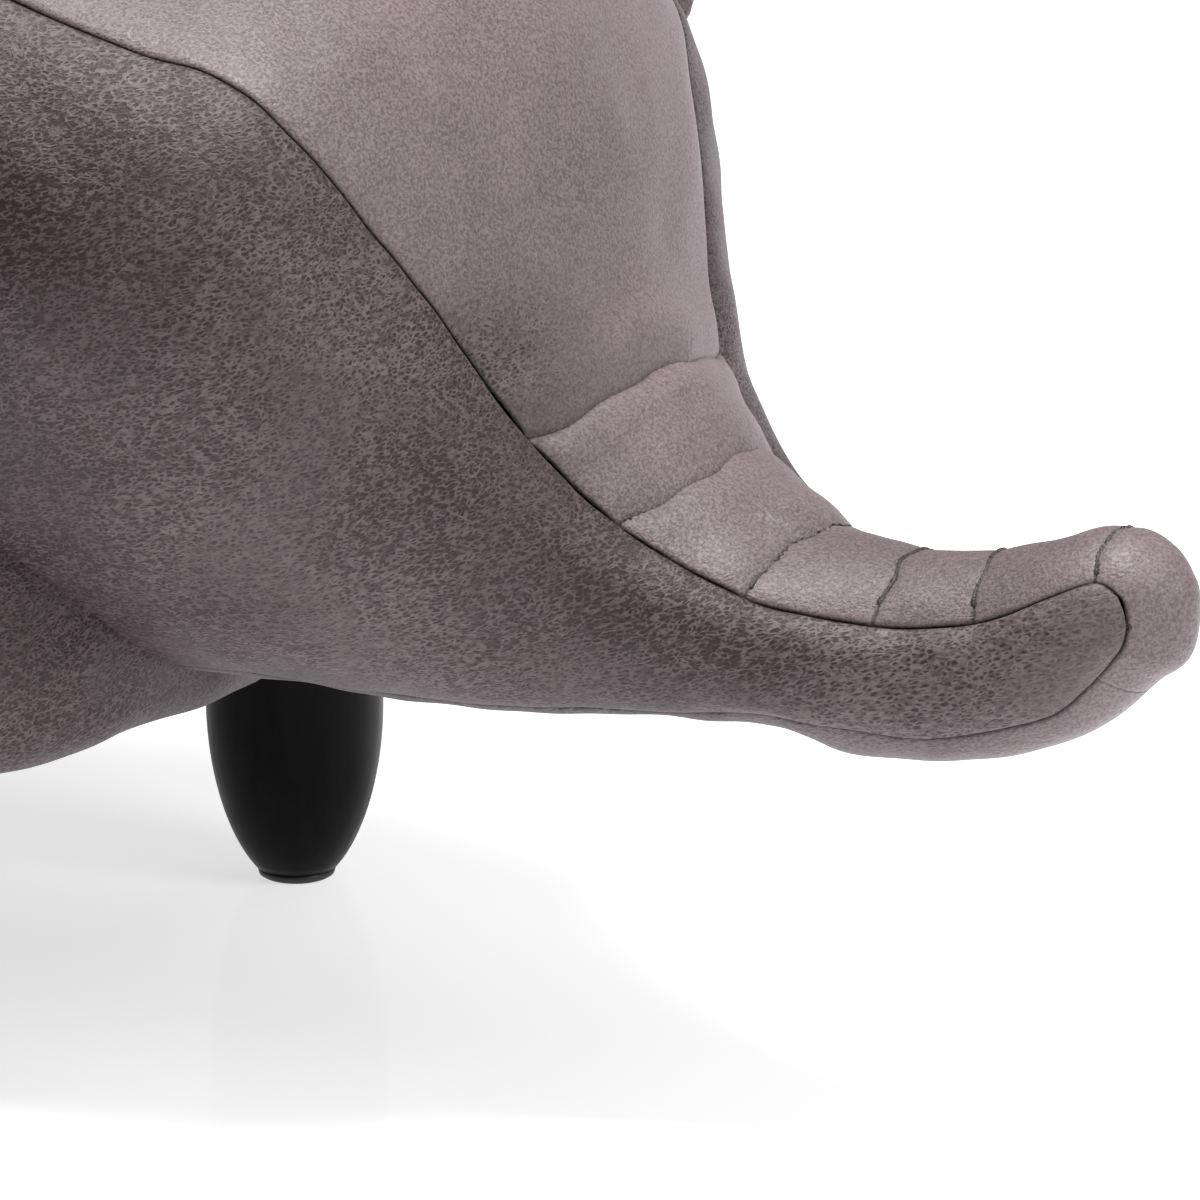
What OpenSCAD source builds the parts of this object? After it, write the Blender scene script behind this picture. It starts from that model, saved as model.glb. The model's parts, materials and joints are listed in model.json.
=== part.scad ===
// Elephant footstool: an upholstered stool on four turned legs, with a stuffed head, trunk,
// ears and tail. X runs from the tail to the trunk tip, Y to the elephant's left, Z up.
// The origin is on the floor, under the middle of the overall length.

/* [Torso] */
// Half length of the torso
torso_half_l = 214; // [205:1:220]
// Half width of the torso
torso_half_w = 160; // [150:1:165]
// Middle of the torso along X
torso_x = -136; // [-140:1:-132]
// Height of the underside above the floor
base_z = 103; // [95:1:108]
// Height of the seat at its crown
seat_z = 381; // [375:1:390]
// How square the torso is in plan: 2 is an ellipse
torso_square = 3.5; // [2.5:0.1:5]
// Inward roll of the chest and rump at the bottom edge
bottom_roll = 28; // [20:1:40]
// Inward roll of the sides at the bottom edge
side_roll = 10; // [6:1:14]
// Height of the roll at the bottom edge
bottom_roll_h = 60; // [40:1:70]
// Radius of the roll at the seat edge
seat_roll = 60; // [40:1:65]
// Rise of the seat crown above its edge roll
seat_crown = 6; // [3:1:10]

/* [Head and trunk] */
// Gap left along each sewn edge between two panels, as a part of the panel's width
seam_gap = 0.004; // [0.002:0.001:0.01]
// How full the cheeks are: 2 is a plain arc
cheek_fullness = 2.6; // [2:0.1:4]

/* [Skins] */
// Thickness of the covering
skin = 2; // [1:0.1:3]
// Gap between the covering and what it covers
skin_gap = 1; // [0.4:0.1:1.5]
// Thickness of the dust cover under the base
dust_t = 0.6; // [0.4:0.1:1]

/* [Frame] */
// Thickness of the plywood
ply = 12; // [9:1:15]
// Half width of the frame box
box_half_w = 94; // [80:1:96]
// Rear end of the frame box
box_rear = -296; // [-300:1:-280]
// Front end of the frame box
box_front = -38; // [-45:1:-34]
// Underside of the seat board
seat_board_z = 318; // [300:1:322]

/* [Legs] */
// Distance of each leg from the centre plane
leg_y = 110; // [100:1:112]
// Distance between the front and the rear legs
wheelbase = 276; // [250:1:280]
// Radius of the leg at its top
leg_r = 28.5; // [25:0.5:32]
// Height below which the leg rounds in
leg_round_z = 60; // [50:1:70]
// Height over which that rounding would close
leg_round_h = 64; // [62:1:70]
// Radius of the floor glide
glide_r = 12.5; // [10:0.5:14]
// Height of the floor glide
glide_h = 3; // [2:0.5:5]
// Radius of the hanger bolt
bolt_r = 4; // [3:0.5:5]

/* [Ears] */
// Reach of the ear from its sewn root, along its curve
ear_reach = 126; // [115:1:135]
// Half height of the ear at its root
ear_root_h = 42; // [35:1:48]
// Half height of the ear at its widest
ear_half_h = 72; // [65:1:74]
// Forward turn of the ear at its root
ear_turn = 10; // [0:1:15]
// Further forward curl from root to edge
ear_curl = 40; // [20:1:45]
// Backward lean of the ear root
ear_lean = 20; // [15:1:25]
// Inward tilt of the top of the ear root
ear_tilt = 10; // [5:1:12]
// Thickness of the ear in its middle
ear_t = 14; // [10:1:18]
// Thickness of the ear at its edge
ear_edge_t = 5; // [4.5:0.5:6]

/* [Tail] */
// Height of the tail root
tail_z = 300; // [280:1:310]
// Radius of the tail cord at its root
tail_r = 5; // [4:0.5:6]
// Length of the tail cord
tail_l = 100; // [80:1:120]
// Radius of the tuft
tuft_r = 7; // [6:0.5:8.5]
// Length of the tuft
tuft_l = 52; // [40:1:60]

/* [Eyes] */
// Radius of the eye dome
eye_r = 10; // [8:0.5:12]

/* [Hidden] */

leather = [0.46, 0.41, 0.42];
plywood = [0.80, 0.66, 0.46];
foam_colour = [0.93, 0.88, 0.70];
wadding_colour = [0.93, 0.93, 0.91];
black = [0.07, 0.07, 0.07];
zinc = [0.75, 0.75, 0.77];

// Clearance between pieces that meet face to face, and between the torso and the head
fit = 0.3;
neck_gap = 2.5;
backing = skin + skin_gap;
frame_top = seat_board_z + ply;
board_top = base_z + ply;
front_leg_x = 0;
rear_leg_x = front_leg_x - wheelbase;
leg_top = base_z - dust_t;
leg_bore_l = 38;
side_top = seat_z - seat_crown - seat_roll;
// Step between columns round the torso, in degrees
torso_step = 7.5;
// Angle that the two side covers stay clear of each other at their centre seams
cover_clear = 0.15;
// Angle at which the foam slabs meet, and the clearance of each
mitre = 45;
mitre_clear = 0.2;
vent_r = 16;
head_board_outline = [[box_front, 150], [90, 150], [150, 165], [150, 230], [110, 280],
                      [40, 300], [box_front, 300]];
screw_r = 2;
screw_l = 38;
nut_flange_r = 11;
nut_flange_t = 1.5;
nut_barrel_l = 9;
staple_l = 10;
staple_w = 1;
staple_t = 0.5;
staple_count = 36;
dust_margin = 10;

// Stations along the head, from the neck to the trunk tip:
// [upper seam x, z, lower seam x, z, upper, middle and lower half width, crown, belly]
head_rows = [
    [-26, 350,  68, 128,  118, 147, 60,   31, 10],
    [ 28, 341,  82, 127,  118, 146, 56,   33,  9],
    [ 90, 325,  97, 126,  114, 140, 52,   30,  8],
    [119, 318, 108, 125,  110, 134, 48,   25,  8],
    [140, 303, 121, 124,  106, 126, 45,   20,  8],
    [161, 265, 147, 125,   84, 103, 41,   14,  8],
    [170, 244, 162, 126,   72,  90, 40,   12,  8],
    [177, 227, 178, 128,   63,  79, 38,   12,  8],
    [186, 212, 196, 130,   56,  68, 37,   12,  7],
    [210, 186, 222, 131,   44,  54, 34,   11,  7],
    [242, 169, 246, 133,   36,  44, 32,   11,  9],
    [262, 165, 264, 132,   31,  38, 30,   12, 13],
    [290, 164, 292, 132,   25,  32, 26,   13, 10],
    [312, 169, 314, 137,   22,  28, 22,   12,  9],
    [330, 178, 331, 143,   20,  25, 20,    9,  7],
    [343, 184, 342, 152,   18,  22, 18,    8,  7],
    [350, 181, 349, 161,   17,  19, 17,   10,  9],
    [352, 177, 352, 166,   16,  17, 16,   12, 12],
    [353, 173, 353, 170,   16,  16, 16,   12, 12]
];
last_row = len(head_rows) - 1;
trunk_start = 7;
neck_bottom = [head_rows[0][2], head_rows[0][3]];
neck_top = [head_rows[0][0], head_rows[0][1]];
// Forward slope of the neck above the upper seam
nape_slope = 0.2;
ear_root = [4, 154, 286];
ear_steps = 14;
ear_rows = 10;
// Parts of the ear's reach at which its panels start and end
ear_from = 0.03;
ear_to = 0.985;
// Part of the reach at which the ear is widest, and its drop towards the edge
ear_widest = 0.45;
ear_drop = 10;
eye_station = 1.15;
eye_height = 0.17;
eye_rim = 1.5;
eye_dome = 5.5;
eye_shank_r = 2.5;
eye_shank_l = 12;
washer_r = 8;
washer_t = 1.5;
washer_depth = 5.5;
tail_tab_r = 4;
tail_tab_l = 8;
// Drop from the middle of the tab to the top of the cord
tail_drop = 6;
tail_taper = 1.2;

// ---- Surfaces ----

function lerp(a, b, t) = a + (b - a) * t;
function unit(v) = v / norm(v);

// A point's place on a superellipse of half sizes a and b
function plan_point(a, b, t, square) = [
    a * sign(cos(t)) * pow(abs(cos(t)), 2 / square),
    b * sign(sin(t)) * pow(abs(sin(t)), 2 / square)
];

// X of the plane between torso and head at height z
function neck_x(z) = z > neck_top.y
    ? neck_top.x + nape_slope * (z - neck_top.y)
    : lerp(neck_bottom.x, neck_top.x, (z - neck_bottom.y) / (neck_top.y - neck_bottom.y));

// Rows up the torso's side: [z, roll at the ends, plan scale, roll at the sides]
top_rows = [for (a = [0:15:90]) [
    side_top + seat_roll * sin(a), seat_roll * (1 - cos(a)), 1, seat_roll * (1 - cos(a))]];
crown_rows = [for (f = [0.8:-0.2:0.2]) [
    seat_z - seat_crown * f * f, seat_roll, f, seat_roll]];

function torso_point(row, t, inset) =
    let (p = plan_point((torso_half_l - row[1]) * row[2] - inset,
                        (torso_half_w - row[3]) * row[2] - inset, t, torso_square))
    [min(torso_x + p.x, neck_x(row[0]) - neck_gap - inset), p.y, row[0]];

function torso_ring(row, inset) =
    [for (t = [0:torso_step:359]) torso_point(row, t, inset)];

// A row of the torso's side at a given height
function arc_in(u) = 1 - sqrt(max(0, 1 - u * u));
function row_at(z) =
    let (low = arc_in(max(0, 1 - (z - base_z) / bottom_roll_h)),
         high = arc_in(max(0, (z - side_top) / seat_roll)))
    [z, bottom_roll * low + seat_roll * high, 1, side_roll * low + seat_roll * high];

// Catmull-Rom blend of four rows
function blend(p0, p1, p2, p3, t) = 0.5 * (2 * p1 + (p2 - p0) * t
    + (2 * p0 - 5 * p1 + 4 * p2 - p3) * t * t + (3 * p1 - p0 - 3 * p2 + p3) * t * t * t);

function head_row(i) = head_rows[max(0, min(last_row, i))];
function head_at(s) =
    let (i = min(last_row - 1, floor(max(0, s))), t = max(0, min(s, last_row)) - i)
    blend(head_row(i - 1), head_row(i), head_row(i + 1), head_row(i + 2), t);

// Outward normals of the upper and lower seams in the XZ plane
function upper_normal(s) =
    let (a = head_at(s - 0.05), b = head_at(s + 0.05)) unit([a[1] - b[1], b[0] - a[0]]);
function lower_normal(s) =
    let (a = head_at(s - 0.05), b = head_at(s + 0.05)) unit([b[3] - a[3], a[2] - b[2]]);

function upper_point(s, f, inset) =
    let (h = head_at(s), n = upper_normal(s), y = 1 - 2 * f,
         out = h[7] * (1 - y * y) - inset)
    [h[0] + n.x * out, (h[4] - inset) * y, h[1] + n.y * out];

function lower_point(s, f, inset) =
    let (h = head_at(s), n = lower_normal(s), y = 1 - 2 * f,
         out = h[8] * (1 - y * y) - inset)
    [h[2] + n.x * out, (h[6] - inset) * y, h[3] + n.y * out];

function side_point(s, f, inset, side) =
    let (a = upper_point(s, 0, inset), b = lower_point(s, 0, inset), h = head_at(s),
         bulge = h[5] - (h[4] + h[6]) / 2,
         y = lerp(a.y, b.y, f) + bulge * (1 - pow(abs(1 - 2 * f), cheek_fullness)))
    [lerp(a.x, b.x, f), side * y, lerp(a.z, b.z, f)];

// Closed ring round the head at station s
ring_upper = 8;
ring_side = 10;
ring_lower = 6;
function head_ring(s, inset) = concat(
    [for (i = [0:ring_upper - 1]) upper_point(s, i / ring_upper, inset)],
    [for (i = [0:ring_side - 1]) side_point(s, i / ring_side, inset, -1)],
    [for (i = [0:ring_lower - 1]) lower_point(s, 1 - i / ring_lower, inset)],
    [for (i = [0:ring_side - 1]) side_point(s, 1 - i / ring_side, inset, 1)]
);

// Ear in its own frame: X forward, Y outward, Z up along the root
function ear_half_height(r) = r < ear_widest
    ? lerp(ear_root_h, ear_half_h, sin(90 * r / ear_widest))
    : ear_half_h * sqrt(1 - pow((r - ear_widest) / (1 - ear_widest), 2));
function swell(u) = sqrt(max(0, 1 - pow(2 * u - 1, 4)));
// face is 1 on the front and -1 on the back; inset is the depth under that face
function ear_point(e, r, face, inset) =
    let (turn = ear_turn + ear_curl * r, k = ear_reach * 180 / (PI * ear_curl),
         puff = ear_edge_t / 2 + (ear_t - ear_edge_t) / 2 * swell(e) * swell(r),
         d = face * (puff - inset))
    [k * (cos(ear_turn) - cos(turn)) + d * cos(turn),
     k * (sin(turn) - sin(ear_turn)) - d * sin(turn),
     -ear_drop * r + ear_half_height(r) * (1 - 2 * e)];

// ---- Solids from grids ----

function flat(grid) = [for (row = grid) for (p = row) p];

// Two triangles for the square between points a, b, c and d
function square_faces(a, b, c, d) = [[a, b, c], [a, c, d]];

// A closed slab between two grids of the same size, outer and inner
module slab(outer, inner) {
    rows = len(outer);
    cols = len(outer[0]);
    n = rows * cols;
    function at(i, j) = i * cols + j;
    polyhedron(
        points = concat(flat(outer), flat(inner)),
        faces = [
            for (i = [0:rows - 2]) for (j = [0:cols - 2]) each concat(
                square_faces(at(i, j), at(i + 1, j), at(i + 1, j + 1), at(i, j + 1)),
                square_faces(n + at(i, j), n + at(i, j + 1), n + at(i + 1, j + 1),
                             n + at(i + 1, j))),
            for (j = [0:cols - 2]) each concat(
                square_faces(at(0, j), at(0, j + 1), n + at(0, j + 1), n + at(0, j)),
                square_faces(at(rows - 1, j + 1), at(rows - 1, j),
                             n + at(rows - 1, j), n + at(rows - 1, j + 1))),
            for (i = [0:rows - 2]) each concat(
                square_faces(at(i, 0), n + at(i, 0), n + at(i + 1, 0), at(i + 1, 0)),
                square_faces(at(i, cols - 1), at(i + 1, cols - 1),
                             n + at(i + 1, cols - 1), n + at(i, cols - 1)))
        ]);
}

function mean(ring, i = 0, total = [0, 0, 0]) =
    i == len(ring) ? total / len(ring) : mean(ring, i + 1, total + ring[i]);

// A closed solid lofted through rings, ended by a fan to a point at each end
module loft(rings, first, last) {
    cols = len(rings[0]);
    rows = len(rings);
    n = rows * cols;
    function at(i, j) = i * cols + j % cols;
    polyhedron(
        points = concat(flat(rings), [first, last]),
        faces = concat(
            [for (i = [0:rows - 2]) for (j = [0:cols - 1])
                each square_faces(at(i, j), at(i, j + 1), at(i + 1, j + 1), at(i + 1, j))],
            [for (j = [0:cols - 1]) [at(0, j + 1), at(0, j), n]],
            [for (j = [0:cols - 1]) [at(rows - 1, j), at(rows - 1, j + 1), n + 1]]));
}

// ---- Frame ----

module box_panel(x0, x1, y0, y1, z0, z1) {
    translate([x0, y0, z0]) cube([x1 - x0, y1 - y0, z1 - z0]);
}

module base_board() {
    color(plywood) difference() {
        translate([0, 0, base_z]) linear_extrude(ply)
            polygon([for (p = torso_ring(row_at(base_z), backing)) [p.x, p.y]]);
        at_legs() translate([0, 0, base_z - 1])
            cylinder(r = bolt_r + 1 + fit, h = ply + 2, $fn = 48);
    }
}

// Cross panel with three lightening holes
module rib(x) {
    color(plywood) difference() {
        box_panel(x, x + ply, -box_half_w, box_half_w, board_top, seat_board_z);
        for (y = [-50, 0, 50])
            translate([x - 1, y, (board_top + seat_board_z) / 2 - 20])
                rotate([0, 90, 0]) cylinder(r = vent_r, h = ply + 2, $fn = 48);
    }
}
module front_rib() { rib(box_front - ply); }
module rear_rib() { rib(box_rear); }

module side_rail(side) {
    y = side > 0 ? box_half_w - ply : -box_half_w;
    color(plywood) box_panel(box_rear + ply, box_front - ply, y, y + ply, board_top, seat_board_z);
}

module seat_board() {
    color(plywood) box_panel(box_rear, box_front, -box_half_w, box_half_w, seat_board_z, frame_top);
}

// Upright board that carries the head, from the front rib to behind the forehead
module head_board() {
    color(plywood) translate([0, ply / 2, 0]) rotate([90, 0, 0]) linear_extrude(ply)
        polygon(head_board_outline);
}

// One screw up through the base board and one down through the seat board
module screw_pair(x, y) {
    translate([x, y, base_z + 1]) cylinder(r = screw_r, h = screw_l, $fn = 24);
    translate([x, y, frame_top - screw_l - 0.5]) cylinder(r = screw_r, h = screw_l, $fn = 24);
}
module frame_screws() {
    color(zinc) {
        for (x = [box_front - ply / 2, box_rear + ply / 2], y = [-60, 60]) screw_pair(x, y);
        for (x = [-200, -120], y = [-1, 1] * (box_half_w - ply / 2)) screw_pair(x, y);
    }
}

// ---- Legs ----

module at_leg(front, side) {
    translate([front ? front_leg_x : rear_leg_x, side * leg_y, 0]) children();
}
module at_legs() {
    for (front = [true, false], side = [1, -1]) at_leg(front, side) children();
}

function leg_radius(z) = z >= leg_round_z
    ? leg_r : leg_r * sqrt(1 - pow((leg_round_z - z) / leg_round_h, 2));

// Turned leg, bored for its hanger bolt
module leg(front, side) {
    color(black) at_leg(front, side) difference() {
        rotate_extrude($fn = 72) polygon(concat(
            [[0, glide_h]],
            [for (z = [glide_h:(leg_round_z - glide_h) / 14:leg_round_z]) [leg_radius(z), z]],
            [[leg_r, leg_top - 1], [leg_r - 1, leg_top], [0, leg_top]]));
        translate([0, 0, leg_top - leg_bore_l])
            cylinder(r = bolt_r + 0.05, h = leg_bore_l + 1, $fn = 48);
    }
}

module glide(front, side) {
    color(black) at_leg(front, side) rotate_extrude($fn = 48)
        polygon([[0, 0], [glide_r - 0.8, 0], [glide_r, 0.8], [glide_r, glide_h], [0, glide_h]]);
}

module hanger_bolts() {
    color(zinc) at_legs() translate([0, 0, leg_top - leg_bore_l + 1])
        cylinder(r = bolt_r, h = board_top + 0.5 - (leg_top - leg_bore_l + 1), $fn = 48);
}

module tee_nuts() {
    color(zinc) at_legs() difference() {
        union() {
            translate([0, 0, board_top]) cylinder(r = nut_flange_r, h = nut_flange_t, $fn = 48);
            translate([0, 0, board_top - nut_barrel_l])
                cylinder(r = bolt_r + 1, h = nut_barrel_l + 0.5, $fn = 48);
        }
        translate([0, 0, board_top - nut_barrel_l - 1])
            cylinder(r = bolt_r + 0.05, h = nut_barrel_l + nut_flange_t + 2, $fn = 48);
    }
}

// ---- Foam and filling ----

// Rows of the covering and of the side foam, which share their heights
cover_rows = concat(
    [for (h = [0, 1.5, 5, ply + nut_flange_t + fit, 25, 42, bottom_roll_h]) row_at(base_z + h)],
    [for (z = [200, 250, 290]) row_at(z)],
    [for (i = [0:2]) top_rows[i]]);
side_foam_rows = concat([for (row = cover_rows) if (row[0] > board_top && row[0] < frame_top) row],
                        [row_at(frame_top)]);

// Point on the rectangle round the frame box, whose corners are at the mitres
function box_point(t) =
    let (side = round(t / 90), u = (t - 90 * side) / mitre, turned = side % 2 != 0,
         end = side % 4 == 0 || side % 4 == 1 || side % 4 == -3 ? 1 : -1,
         mid_x = (box_front + box_rear) / 2,
         half_x = (box_front - box_rear) / 2 + fit, half_y = box_half_w + fit)
    turned ? [mid_x - end * u * half_x, end * half_y] : [mid_x + end * half_x, end * u * half_y];

// Slab of foam between the frame box and the covering, between two angles
module foam_slab(from, to) {
    angles = concat([from + mitre_clear],
                    [for (t = [from + torso_step:torso_step:to - torso_step + 0.1]) t],
                    [to - mitre_clear]);
    color(foam_colour) slab(
        [for (row = side_foam_rows) [for (t = angles) torso_point(row, -t, backing)]],
        [for (row = side_foam_rows) [for (t = angles) let (p = box_point(-t)) [p.x, p.y, row[0]]]]);
}
module chest_foam() { foam_slab(-mitre, mitre); }
module side_foam_right() { foam_slab(mitre, 180 - mitre); }
module rump_foam() { foam_slab(180 - mitre, 180 + mitre); }
module side_foam_left() { foam_slab(180 + mitre, 360 - mitre); }

module seat_foam() {
    rows = concat([row_at(frame_top + fit), row_at(frame_top + 8)],
                  [for (i = [2:len(top_rows) - 1]) top_rows[i]], crown_rows);
    rings = [for (row = rows)
        [for (p = torso_ring(row, backing))
            [p.x, p.y, row[0] > frame_top + 20 ? p.z - backing : p.z]]];
    color(foam_colour) loft(rings, [torso_x, 0, frame_top + fit], [torso_x, 0, seat_z - backing]);
}

// Stations of the panels along the head, which the filling shares
end_clear = 0.02;
station_count = 34;
head_stations = [for (i = [0:station_count])
    lerp(end_clear, last_row - end_clear, i / station_count)];

module filling(from, to) {
    rings = [for (s = head_stations) if (s > from && s < to) head_ring(s, backing)];
    color(wadding_colour) loft(rings, mean(rings[0]), mean(rings[len(rings) - 1]));
}
module head_filling() { filling(0, trunk_start); }
module trunk_filling() { filling(trunk_start, last_row - 0.1); }

// ---- Covers ----

module side_cover(side) {
    angles = concat([cover_clear], [for (t = [torso_step:torso_step:179]) t], [180 - cover_clear]);
    last = len(angles) - 1;
    sweep = [for (i = [0:last]) side * angles[side > 0 ? last - i : i]];
    color(leather) slab(
        [for (row = cover_rows) [for (t = sweep) torso_point(row, t, 0)]],
        [for (row = cover_rows) [for (t = sweep) torso_point(row, t, skin)]]);
}

// Seat cover: a cap over the seat foam
module seat_cover() {
    rows = concat([row_at(top_rows[2][0] + fit)],
                  [for (i = [3:len(top_rows) - 1]) top_rows[i]], crown_rows);
    outer = [for (row = rows) torso_ring(row, 0)];
    inner = [for (row = rows) [for (p = torso_ring(row, skin))
        [p.x, p.y, row == rows[0] ? p.z : p.z - skin]]];
    cols = len(outer[0]);
    count = len(rows);
    n = count * cols;
    function at(i, j) = i * cols + j % cols;
    color(leather) polyhedron(
        points = concat(flat(outer), flat(inner),
                        [[torso_x, 0, seat_z], [torso_x, 0, seat_z - skin]]),
        faces = concat(
            [for (i = [0:count - 2]) for (j = [0:cols - 1])
                each square_faces(at(i, j), at(i, j + 1), at(i + 1, j + 1), at(i + 1, j))],
            [for (i = [0:count - 2]) for (j = [0:cols - 1])
                each square_faces(n + at(i, j), n + at(i + 1, j), n + at(i + 1, j + 1),
                                  n + at(i, j + 1))],
            [for (j = [0:cols - 1])
                each square_faces(at(0, j + 1), at(0, j), n + at(0, j), n + at(0, j + 1))],
            [for (j = [0:cols - 1]) [at(count - 1, j), at(count - 1, j + 1), 2 * n]],
            [for (j = [0:cols - 1]) [n + at(count - 1, j + 1), n + at(count - 1, j), 2 * n + 1]]));
}

function across(steps) = [for (i = [0:steps]) lerp(seam_gap, 1 - seam_gap, i / steps)];

module forehead_panel() {
    color(leather) slab(
        [for (s = head_stations) [for (f = across(8)) upper_point(s, f, 0)]],
        [for (s = head_stations) [for (f = across(8)) upper_point(s, f, skin)]]);
}
module chin_panel() {
    color(leather) slab(
        [for (s = head_stations) [for (f = across(6)) lower_point(s, 1 - f, 0)]],
        [for (s = head_stations) [for (f = across(6)) lower_point(s, 1 - f, skin)]]);
}
module head_panel(side) {
    fs = across(10);
    sweep = side > 0 ? [for (i = [0:10]) fs[10 - i]] : fs;
    color(leather) slab(
        [for (s = head_stations) [for (f = sweep) side_point(s, f, 0, side)]],
        [for (s = head_stations) [for (f = sweep) side_point(s, f, skin, side)]]);
}

module dust_cover() {
    color(black) difference() {
        translate([0, 0, base_z - dust_t]) linear_extrude(dust_t)
            polygon([for (p = torso_ring(row_at(base_z), dust_margin)) [p.x, p.y]]);
        at_legs() translate([0, 0, base_z - 1]) cylinder(r = bolt_r + 1, h = 2, $fn = 48);
    }
}

// Staples round the dust cover, clear of the legs
module dust_cover_staples() {
    color(zinc) for (i = [0:staple_count - 1]) {
        t = (i + 0.5) * 360 / staple_count;
        p = torso_point(row_at(base_z), t, dust_margin + 6);
        leg_gap = min([for (x = [front_leg_x, rear_leg_x], y = [-leg_y, leg_y])
            norm([p.x - x, p.y - y])]);
        if (leg_gap > leg_r + staple_l)
            translate([p.x, p.y, base_z - dust_t - staple_t]) rotate([0, 0, t + 90])
                translate([-staple_l / 2, -staple_w / 2, 0]) cube([staple_l, staple_w, staple_t]);
    }
}

// ---- Ears ----

module at_ear(side) {
    mirror([0, side > 0 ? 0 : 1, 0]) translate(ear_root) rotate([ear_tilt, -ear_lean, 0]) children();
}
ear_grid_e = [for (i = [0:ear_rows]) i / ear_rows];
ear_grid_r = [for (i = [0:ear_steps]) lerp(ear_from, ear_to, i / ear_steps)];
function ear_grid(face, inset) =
    [for (e = ear_grid_e) [for (r = ear_grid_r) ear_point(e, r, face, inset)]];

module ear_front(side) {
    color(leather) at_ear(side) slab(ear_grid(1, 0), ear_grid(1, skin));
}
module ear_back(side) {
    color(leather) at_ear(side) slab(ear_grid(-1, skin), ear_grid(-1, 0));
}
module ear_wadding(side) {
    color(wadding_colour) at_ear(side) slab(ear_grid(1, skin), ear_grid(-1, skin));
}

// ---- Eyes ----

module at_eye(side) {
    p = side_point(eye_station, eye_height, 0, side);
    du = side_point(eye_station + 0.1, eye_height, 0, side) - p;
    dv = side_point(eye_station, eye_height + 0.02, 0, side) - p;
    n = unit(cross(du, dv)) * side;
    translate(p) rotate([0, acos(n.z), atan2(n.y, n.x)]) children();
}
module eye(side) {
    color(black) at_eye(side) rotate_extrude($fn = 64) polygon(concat(
        [[0, -eye_shank_l], [eye_shank_r, -eye_shank_l], [eye_shank_r, fit], [eye_r, fit]],
        [for (a = [0:10:90]) [eye_r * cos(a), eye_rim + eye_dome * sin(a)]]));
}
module eye_washer(side) {
    color(zinc) at_eye(side) translate([0, 0, -washer_depth]) difference() {
        cylinder(r = washer_r, h = washer_t, $fn = 48);
        translate([0, 0, -1]) cylinder(r = eye_shank_r + 0.05, h = washer_t + 2, $fn = 48);
    }
}

// ---- Tail ----

rump_x = torso_x - torso_half_l;
tail_x = rump_x - tuft_r - 1;
cord_top = tail_z - tail_drop;
module tail_tab() {
    color(leather) translate([rump_x - fit, 0, tail_z]) rotate([0, -90, 0])
        cylinder(r = tail_tab_r, h = tail_tab_l, $fn = 32);
}
module tail_cord() {
    shoulder = tail_l - tail_r;
    color(leather) translate([tail_x, 0, cord_top - tail_l]) rotate_extrude($fn = 32)
        polygon(concat([[0, 0], [tail_r - tail_taper, 0], [tail_r, shoulder]],
            [for (a = [15:15:75]) [tail_r * cos(a), shoulder + tail_r * sin(a)]],
            [[0, tail_l]]));
}
// Tuft: a drop that is fuller below its middle and closed at both ends
module tail_tuft() {
    color(leather) translate([tail_x, 0, cord_top - tail_l - tuft_l]) rotate_extrude($fn = 32)
        polygon([for (a = [-90:12:90]) [abs(a) == 90 ? 0 : tuft_r * cos(a) * (1 - 0.25 * sin(a)) / 1.03,
                                        tuft_l * (1 + sin(a)) / 2]]);
}

base_board();
front_rib();
rear_rib();
side_rail(1);  // side_rail_left
side_rail(-1);  // side_rail_right
seat_board();
head_board();
frame_screws();
leg(true, 1);  // leg_front_left
leg(true, -1);  // leg_front_right
leg(false, 1);  // leg_rear_left
leg(false, -1);  // leg_rear_right
glide(true, 1);  // glide_front_left
glide(true, -1);  // glide_front_right
glide(false, 1);  // glide_rear_left
glide(false, -1);  // glide_rear_right
hanger_bolts();
tee_nuts();
chest_foam();
side_foam_left();
side_foam_right();
rump_foam();
seat_foam();
head_filling();
trunk_filling();
side_cover(1);  // side_cover_left
side_cover(-1);  // side_cover_right
seat_cover();
head_panel(1);  // head_panel_left
head_panel(-1);  // head_panel_right
forehead_panel();
chin_panel();
ear_front(1);  // ear_left_front
ear_back(1);  // ear_left_back
ear_wadding(1);  // ear_left_wadding
ear_front(-1);  // ear_right_front
ear_back(-1);  // ear_right_back
ear_wadding(-1);  // ear_right_wadding
eye(1);  // eye_left
eye(-1);  // eye_right
eye_washer(1);  // eye_washer_left
eye_washer(-1);  // eye_washer_right
tail_tab();
tail_cord();
tail_tuft();
dust_cover();
dust_cover_staples();
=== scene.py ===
"""Elephant footstool: leather, legs, ears, eyes and tail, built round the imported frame.

X runs from the tail to the trunk tip, Y to the elephant's left, Z up, in metres.
"""

import json
import math

import bmesh
import bpy
import numpy as np
from bpy.props import FloatProperty, FloatVectorProperty, IntProperty, PointerProperty
from mathutils import Matrix, Vector, kdtree


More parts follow.
